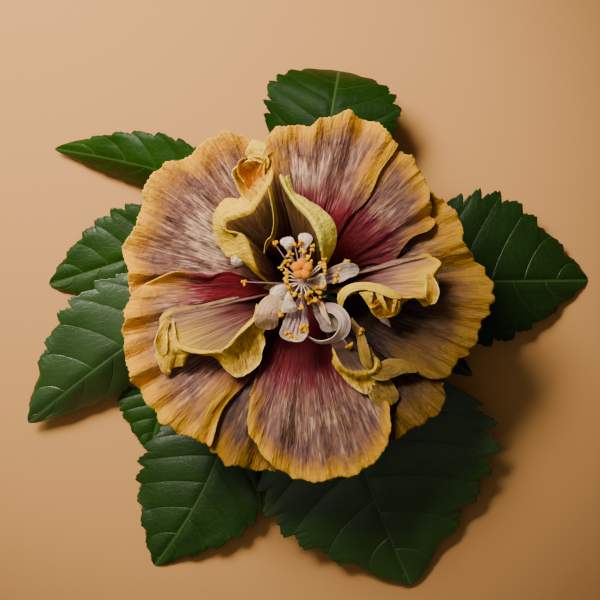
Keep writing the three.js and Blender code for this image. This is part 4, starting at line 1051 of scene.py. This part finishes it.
# Ends of the midrib, half widths left and right, lifts of the halves in degrees, the midrib's bow
# up and to the left, how early its tip curls down, where the petiole leaves the twig, how much
# painted shade darkens the leaf and how waxy it is.
LEAVES = {
    "leaf_top": dict(
        foot=[6, 43, 24], tip=[16, 103, 0.8], widths=[36, 33], lifts=[-20, -2], arch=8,
        sway=0, curl=0.9, petiole=[-4, 17, 3], painted_leaf_shade=0.9, wax=-0.1),
    "leaf_upper_left": dict(
        foot=[-32, 44, 24], tip=[-118, 66, 5], widths=[18, 18], lifts=[-58, 12], arch=6,
        sway=-2, curl=0, petiole=[-2, 12, 3], painted_leaf_shade=0.3, wax=0.15),
    "leaf_mid_left": dict(
        foot=[-47, 25, 18], tip=[-121, 2, 1.5], widths=[24, 26], lifts=[-12, 4], arch=3,
        sway=0, curl=0, petiole=[0, 6, 3], painted_leaf_shade=0.4, wax=0.5),
    "leaf_left": dict(
        foot=[-46, -2, 29], tip=[-130, -63, 9], widths=[26, 35], lifts=[-42, 6], arch=6,
        sway=-2, curl=0, petiole=[2, -1, 3], painted_leaf_shade=0.0, wax=1.8),
    "leaf_low_left": dict(
        foot=[-64, -36, 8], tip=[-74, -77, 2], widths=[20, 22], lifts=[-8, -6], arch=1,
        sway=1, curl=0, petiole=[5, -10, 3], painted_leaf_shade=0.4, wax=0.3),
    "leaf_lower_left": dict(
        foot=[-33, -57, 18], tip=[-71, -131, 1], widths=[31, 36], lifts=[-4, -12], arch=4,
        sway=4, curl=0, petiole=[13, -40, 3], painted_leaf_shade=0.6, wax=0.5),
    "leaf_bottom": dict(
        foot=[13, -33, 26], tip=[50, -140, 3], widths=[68, 54], lifts=[-4, -4], arch=7,
        sway=-3, curl=0, petiole=[17, -56, 3], painted_leaf_shade=0.15, wax=1.3),
    "leaf_right": dict(
        foot=[40, 3, 26], tip=[134, 4, 1], widths=[45, 33], lifts=[-5, -12], arch=5,
        sway=0, curl=0, petiole=[6, -16, 3], painted_leaf_shade=0.9, wax=0.3),
    "leaf_low_right": dict(
        foot=[52, -22, 20], tip=[79, -41, 8], widths=[7, 7], lifts=[-6, -6], arch=1,
        sway=0, curl=0, petiole=[9, -26, 3], painted_leaf_shade=0.8, wax=0.3),
}


def saw(run):
    """Rises from 0 to 1 at each tooth's tip, and falls back to 0 at the next tooth."""
    step = np.mod(run, 1)
    return np.minimum(step / TOOTH_TIP, (1 - step) / (1 - TOOTH_TIP))


def leaf_point(leaf, s, t):
    """s runs from the blade's foot to its tip, and t from its left edge, -1, to its right, 1."""
    foot, tip = np.array(leaf["foot"], float), np.array(leaf["tip"], float)
    ahead = (tip - foot)[:2] / np.linalg.norm((tip - foot)[:2])
    left = np.array([-ahead[1], ahead[0]])
    bow = np.sin(math.pi * s)
    first = t < 0
    profile = np.maximum(0, np.sin(math.pi * s ** 0.72)) ** 0.68 * (1 - 0.2 * s ** 3)
    run = s * TEETH + np.where(first, 0, RIGHT_TEETH_SHIFT) + 0.18 * ripple(s * 23, int(leaf["widths"][0]))
    hump = saw(run) ** 0.8
    small = saw(run * 3)
    cut = (1 - hump) + SMALL_TOOTH * (1 - small)
    depth = TOOTH_DEPTH * np.abs(t) ** 6 * cut * smooth_step(0.08, 0.3, s) * (1 - smooth_step(0.95, 1, s))
    depth = depth * (0.4 + 0.6 * profile)
    turned = smooth_step(0.4, 0.95, s)  # near the tip the margin looks ahead, and its teeth do too
    width = np.where(first, leaf["widths"][0], leaf["widths"][1])
    half = width * np.maximum(profile - depth * (1 - 0.5 * turned), 0.012)
    lift = np.radians(np.where(first, leaf["lifts"][0], leaf["lifts"][1]))
    out = np.abs(t) * half
    station = s + leaf["curl"] * s * (1 - s)
    flat = foot[:2] + station[:, None] * (tip - foot)[:2]
    flat = flat + (leaf["sway"] * bow - np.sign(t) * out * np.cos(lift))[:, None] * left
    flat = flat + (FORWARD_SWEEP * out * (1 - s) - width * depth * turned)[:, None] * ahead
    z = foot[2] + (tip[2] - foot[2]) * s ** (1 + 2 * leaf["curl"]) + leaf["arch"] * bow + out * np.sin(lift)
    return np.column_stack([flat, z]), out


def leaf_blade(name, leaf, seed):
    def grow(u, v):
        t = 2 * u - 1
        points, out = leaf_point(leaf, v, t)
        rank = (v - VEIN_SWEEP * np.abs(t) ** VEIN_BOW) * SIDE_VEINS + np.where(t < 0, 0, RIGHT_VEIN_SHIFT)
        quilt = np.abs(np.sin(math.pi * rank)) ** 0.7
        inside = smooth_step(0, 5, out) * (1 - smooth_step(0.75, 1, np.abs(t)))
        wave = WAVE * ripple(v * 16 + 3 * np.sign(t), seed) * smooth_step(0.5, 1, np.abs(t))
        wave = wave * smooth_step(0.05, 0.2, v) * (1 - smooth_step(0.9, 1, v))
        keel = -KEEL * (1 - smooth_step(0, 3, out))
        points[:, 2] += QUILT * quilt * inside + wave + keel
        points[:, 2] = np.maximum(points[:, 2], 0.5)
        # The first zone is the leaf's painted shade, even over the blade.
        zones = np.stack([np.full_like(u, leaf["painted_leaf_shade"]), out / 60, 0 * u, np.full_like(u, leaf["wax"])], 1)
        return points, np.stack([u, v], 1), zones

    return tissue_sheet(name + "_blade", 72, 300, grow, LEAF_TISSUE, underside=True)


def leaf_tissue(name, lit_green, shaded_green, vein, roughness, vein_strength):
    """Leaf: waxy green blade, darkened by painted shade, with pale veins and a fine net between them."""
    material, tree = blank_material(name)
    math_node = sums_in(tree)
    place = add_node(tree, "ShaderNodeTexCoord").outputs["Object"]
    zones = add_node(tree, "ShaderNodeAttribute", attribute_name="zones")
    zone = add_node(tree, "ShaderNodeSeparateColor", {"Color": zones.outputs["Color"]})
    across = add_node(tree, "ShaderNodeSeparateXYZ",
                      {"Vector": add_node(tree, "ShaderNodeUVMap", uv_map="UVMap").outputs["UV"]})

    side = math_node("MULTIPLY_ADD", across.outputs["X"], 2.0, -1.0)
    out = math_node("ABSOLUTE", side)
    right = math_node("GREATER_THAN", side, 0.0)
    rank = math_node("MULTIPLY_ADD", math_node("POWER", out, VEIN_BOW), -VEIN_SWEEP, across.outputs["Y"])
    rank = math_node("MULTIPLY_ADD", right, RIGHT_VEIN_SHIFT / SIDE_VEINS, rank)
    wobble = math_node("SUBTRACT", cloudy(tree, place, 60.0), 0.5)
    rank = math_node("MULTIPLY_ADD", wobble, 0.012, rank)
    near = math_node("PINGPONG", math_node("MULTIPLY", rank, float(SIDE_VEINS)), 0.5)
    thin = math_node("MULTIPLY_ADD", out, -0.024, 0.036)
    main = math_node("MAXIMUM", mapped(tree, near, thin, 0.004),
                     mapped(tree, zone.outputs["Green"], 0.016, 0.006))
    net = add_node(tree, "ShaderNodeTexVoronoi", {"Vector": place, "Scale": 330.0},
                   feature="DISTANCE_TO_EDGE").outputs["Distance"]
    net = mapped(tree, net, 0.07, 0.0)
    lines = math_node("MAXIMUM", math_node("MULTIPLY", main, vein_strength), math_node("MULTIPLY", net, 0.05))
    # Painted shade: the first zone mixes the lit green towards the shaded green.
    body = mixed(tree, zone.outputs["Red"], linear(lit_green), linear(shaded_green))
    body = scaled(tree, body, mapped(tree, cloudy(tree, place, 70.0, 3.0), 0.3, 0.7, 0.8, 1.15))
    body = mixed(tree, lines, body, linear(vein))
    relief = math_node("MULTIPLY_ADD", net, -0.15, math_node("MULTIPLY", main, -1.0))
    surface(tree, body, relief, 0.6, 0.0005,
            {"Roughness": roughness, "Subsurface Weight": 0.05, "Subsurface Scale": 0.001,
             "Specular IOR Level": math_node("MULTIPLY_ADD", zones.outputs["Alpha"], 0.5, 0.1)})
    return material


# Upper face: deep glossy green with pale veins. Lower face: duller and paler. Petiole: smooth.
leaf_gloss = leaf_tissue("leaf_gloss", "#204400", "#142C08", "#5E8440", roughness=0.44, vein_strength=0.24)
leaf_under = leaf_tissue("leaf_under", "#7C9A52", "#5A7A40", "#B8CC94", roughness=0.6, vein_strength=0.7)
petiole_green = flesh("petiole_green", 0.0, 0.03, "#4E6A2A", "#6C8A3C", grain=1.0)

for number, (name, leaf) in enumerate(LEAVES.items()):
    blade = leaf_blade(name, leaf, number + 61)
    coat(blade, leaf_gloss, leaf_under)
    foot = leaf_point(leaf, np.array([0.04]), np.array([0.0]))[0][0]
    start = np.array(leaf["petiole"], float)
    knee = (start + foot) / 2
    knee[2] = max(leaf["foot"][2] - 3, 8)
    petiole = drawn_tube(name + "_petiole", [[(*start, 1.3 * PETIOLE_RADIUS), (*knee, PETIOLE_RADIUS),
                                              (*foot, PETIOLE_RADIUS)]], 3, 24)
    coat(petiole, petiole_green)
    for piece in (blade, petiole):
        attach(piece, "root")
    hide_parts(name)

# ---------------------------------------------------------------------------------------------
# Studio: a plain sand-coloured floor with painted shade that darkens it away from the lamp's side,
# one large soft lamp high on the left and a wide fill, under a camera that looks straight down.

PAINTED_LIGHT_CENTRE = (-0.06, 0.05, 0)  # metres, the centre of the painted light on the floor, where it is palest
CAMERA_PLACE = (-0.00411, 0.01270, 1.160)

bpy.ops.object.select_all(action="DESELECT")
bpy.ops.mesh.primitive_plane_add(size=6)
floor = bpy.context.object
floor.name = "floor"
paint = bpy.data.materials.new("matt_sand_painted_shade")
paint.use_nodes = True
tree = paint.node_tree
place = add_node(tree, "ShaderNodeTexCoord").outputs["Object"]
# Painted shade: the floor's colour darkens from pale sand to brown away from this spot.
away = add_node(tree, "ShaderNodeVectorMath", {0: place, 1: PAINTED_LIGHT_CENTRE}, operation="DISTANCE")
painted_falloff = mapped(tree, away.outputs["Value"], 0.14, 0.3, shape="SMOOTHSTEP")
shaded_sand = mixed(tree, painted_falloff, linear("#C89250"), linear("#8A6236"))
tree.links.new(shaded_sand, tree.nodes["Principled BSDF"].inputs["Base Color"])
tree.nodes["Principled BSDF"].inputs["Roughness"].default_value = 0.9
coat(floor, paint)


def lamp(name, place, aim, size, power, colour, spread=180):
    """A square lamp: places and size in metres, power in watts and spread in degrees."""
    light = bpy.data.lights.new(name, "AREA")
    light.size = size
    light.energy = power
    light.color = linear(colour)[:3]
    light.spread = math.radians(spread)
    holder = bpy.data.objects.new(name, light)
    bpy.context.scene.collection.objects.link(holder)
    holder.location = place
    way = np.array(aim) - np.array(place)
    tip = math.atan2(math.hypot(way[0], way[1]), -way[2])
    holder.rotation_euler = (tip, 0, math.atan2(way[1], way[0]) - math.pi / 2)


lamp("soft_key", place=(-0.42, 0.55, 0.75), aim=(-0.12, 0.18, 0.03), size=0.42, power=2.45,
     colour="#FFF4E6", spread=48)
lamp("soft_fill", place=(-0.5, -0.1, 1.5), aim=(0, 0, 0.03), size=1.4, power=2.4, colour="#FFF6EC")
world = bpy.data.worlds.new("studio")
world.use_nodes = True
world.node_tree.nodes["Background"].inputs["Color"].default_value = linear("#F2E8DC")
world.node_tree.nodes["Background"].inputs["Strength"].default_value = 0.11
bpy.context.scene.world = world

view = bpy.data.cameras.new("camera")
view.sensor_width = 36
view.lens = 146.66
camera = bpy.data.objects.new("camera", view)
camera.location = CAMERA_PLACE
bpy.context.scene.collection.objects.link(camera)
bpy.context.scene.camera = camera
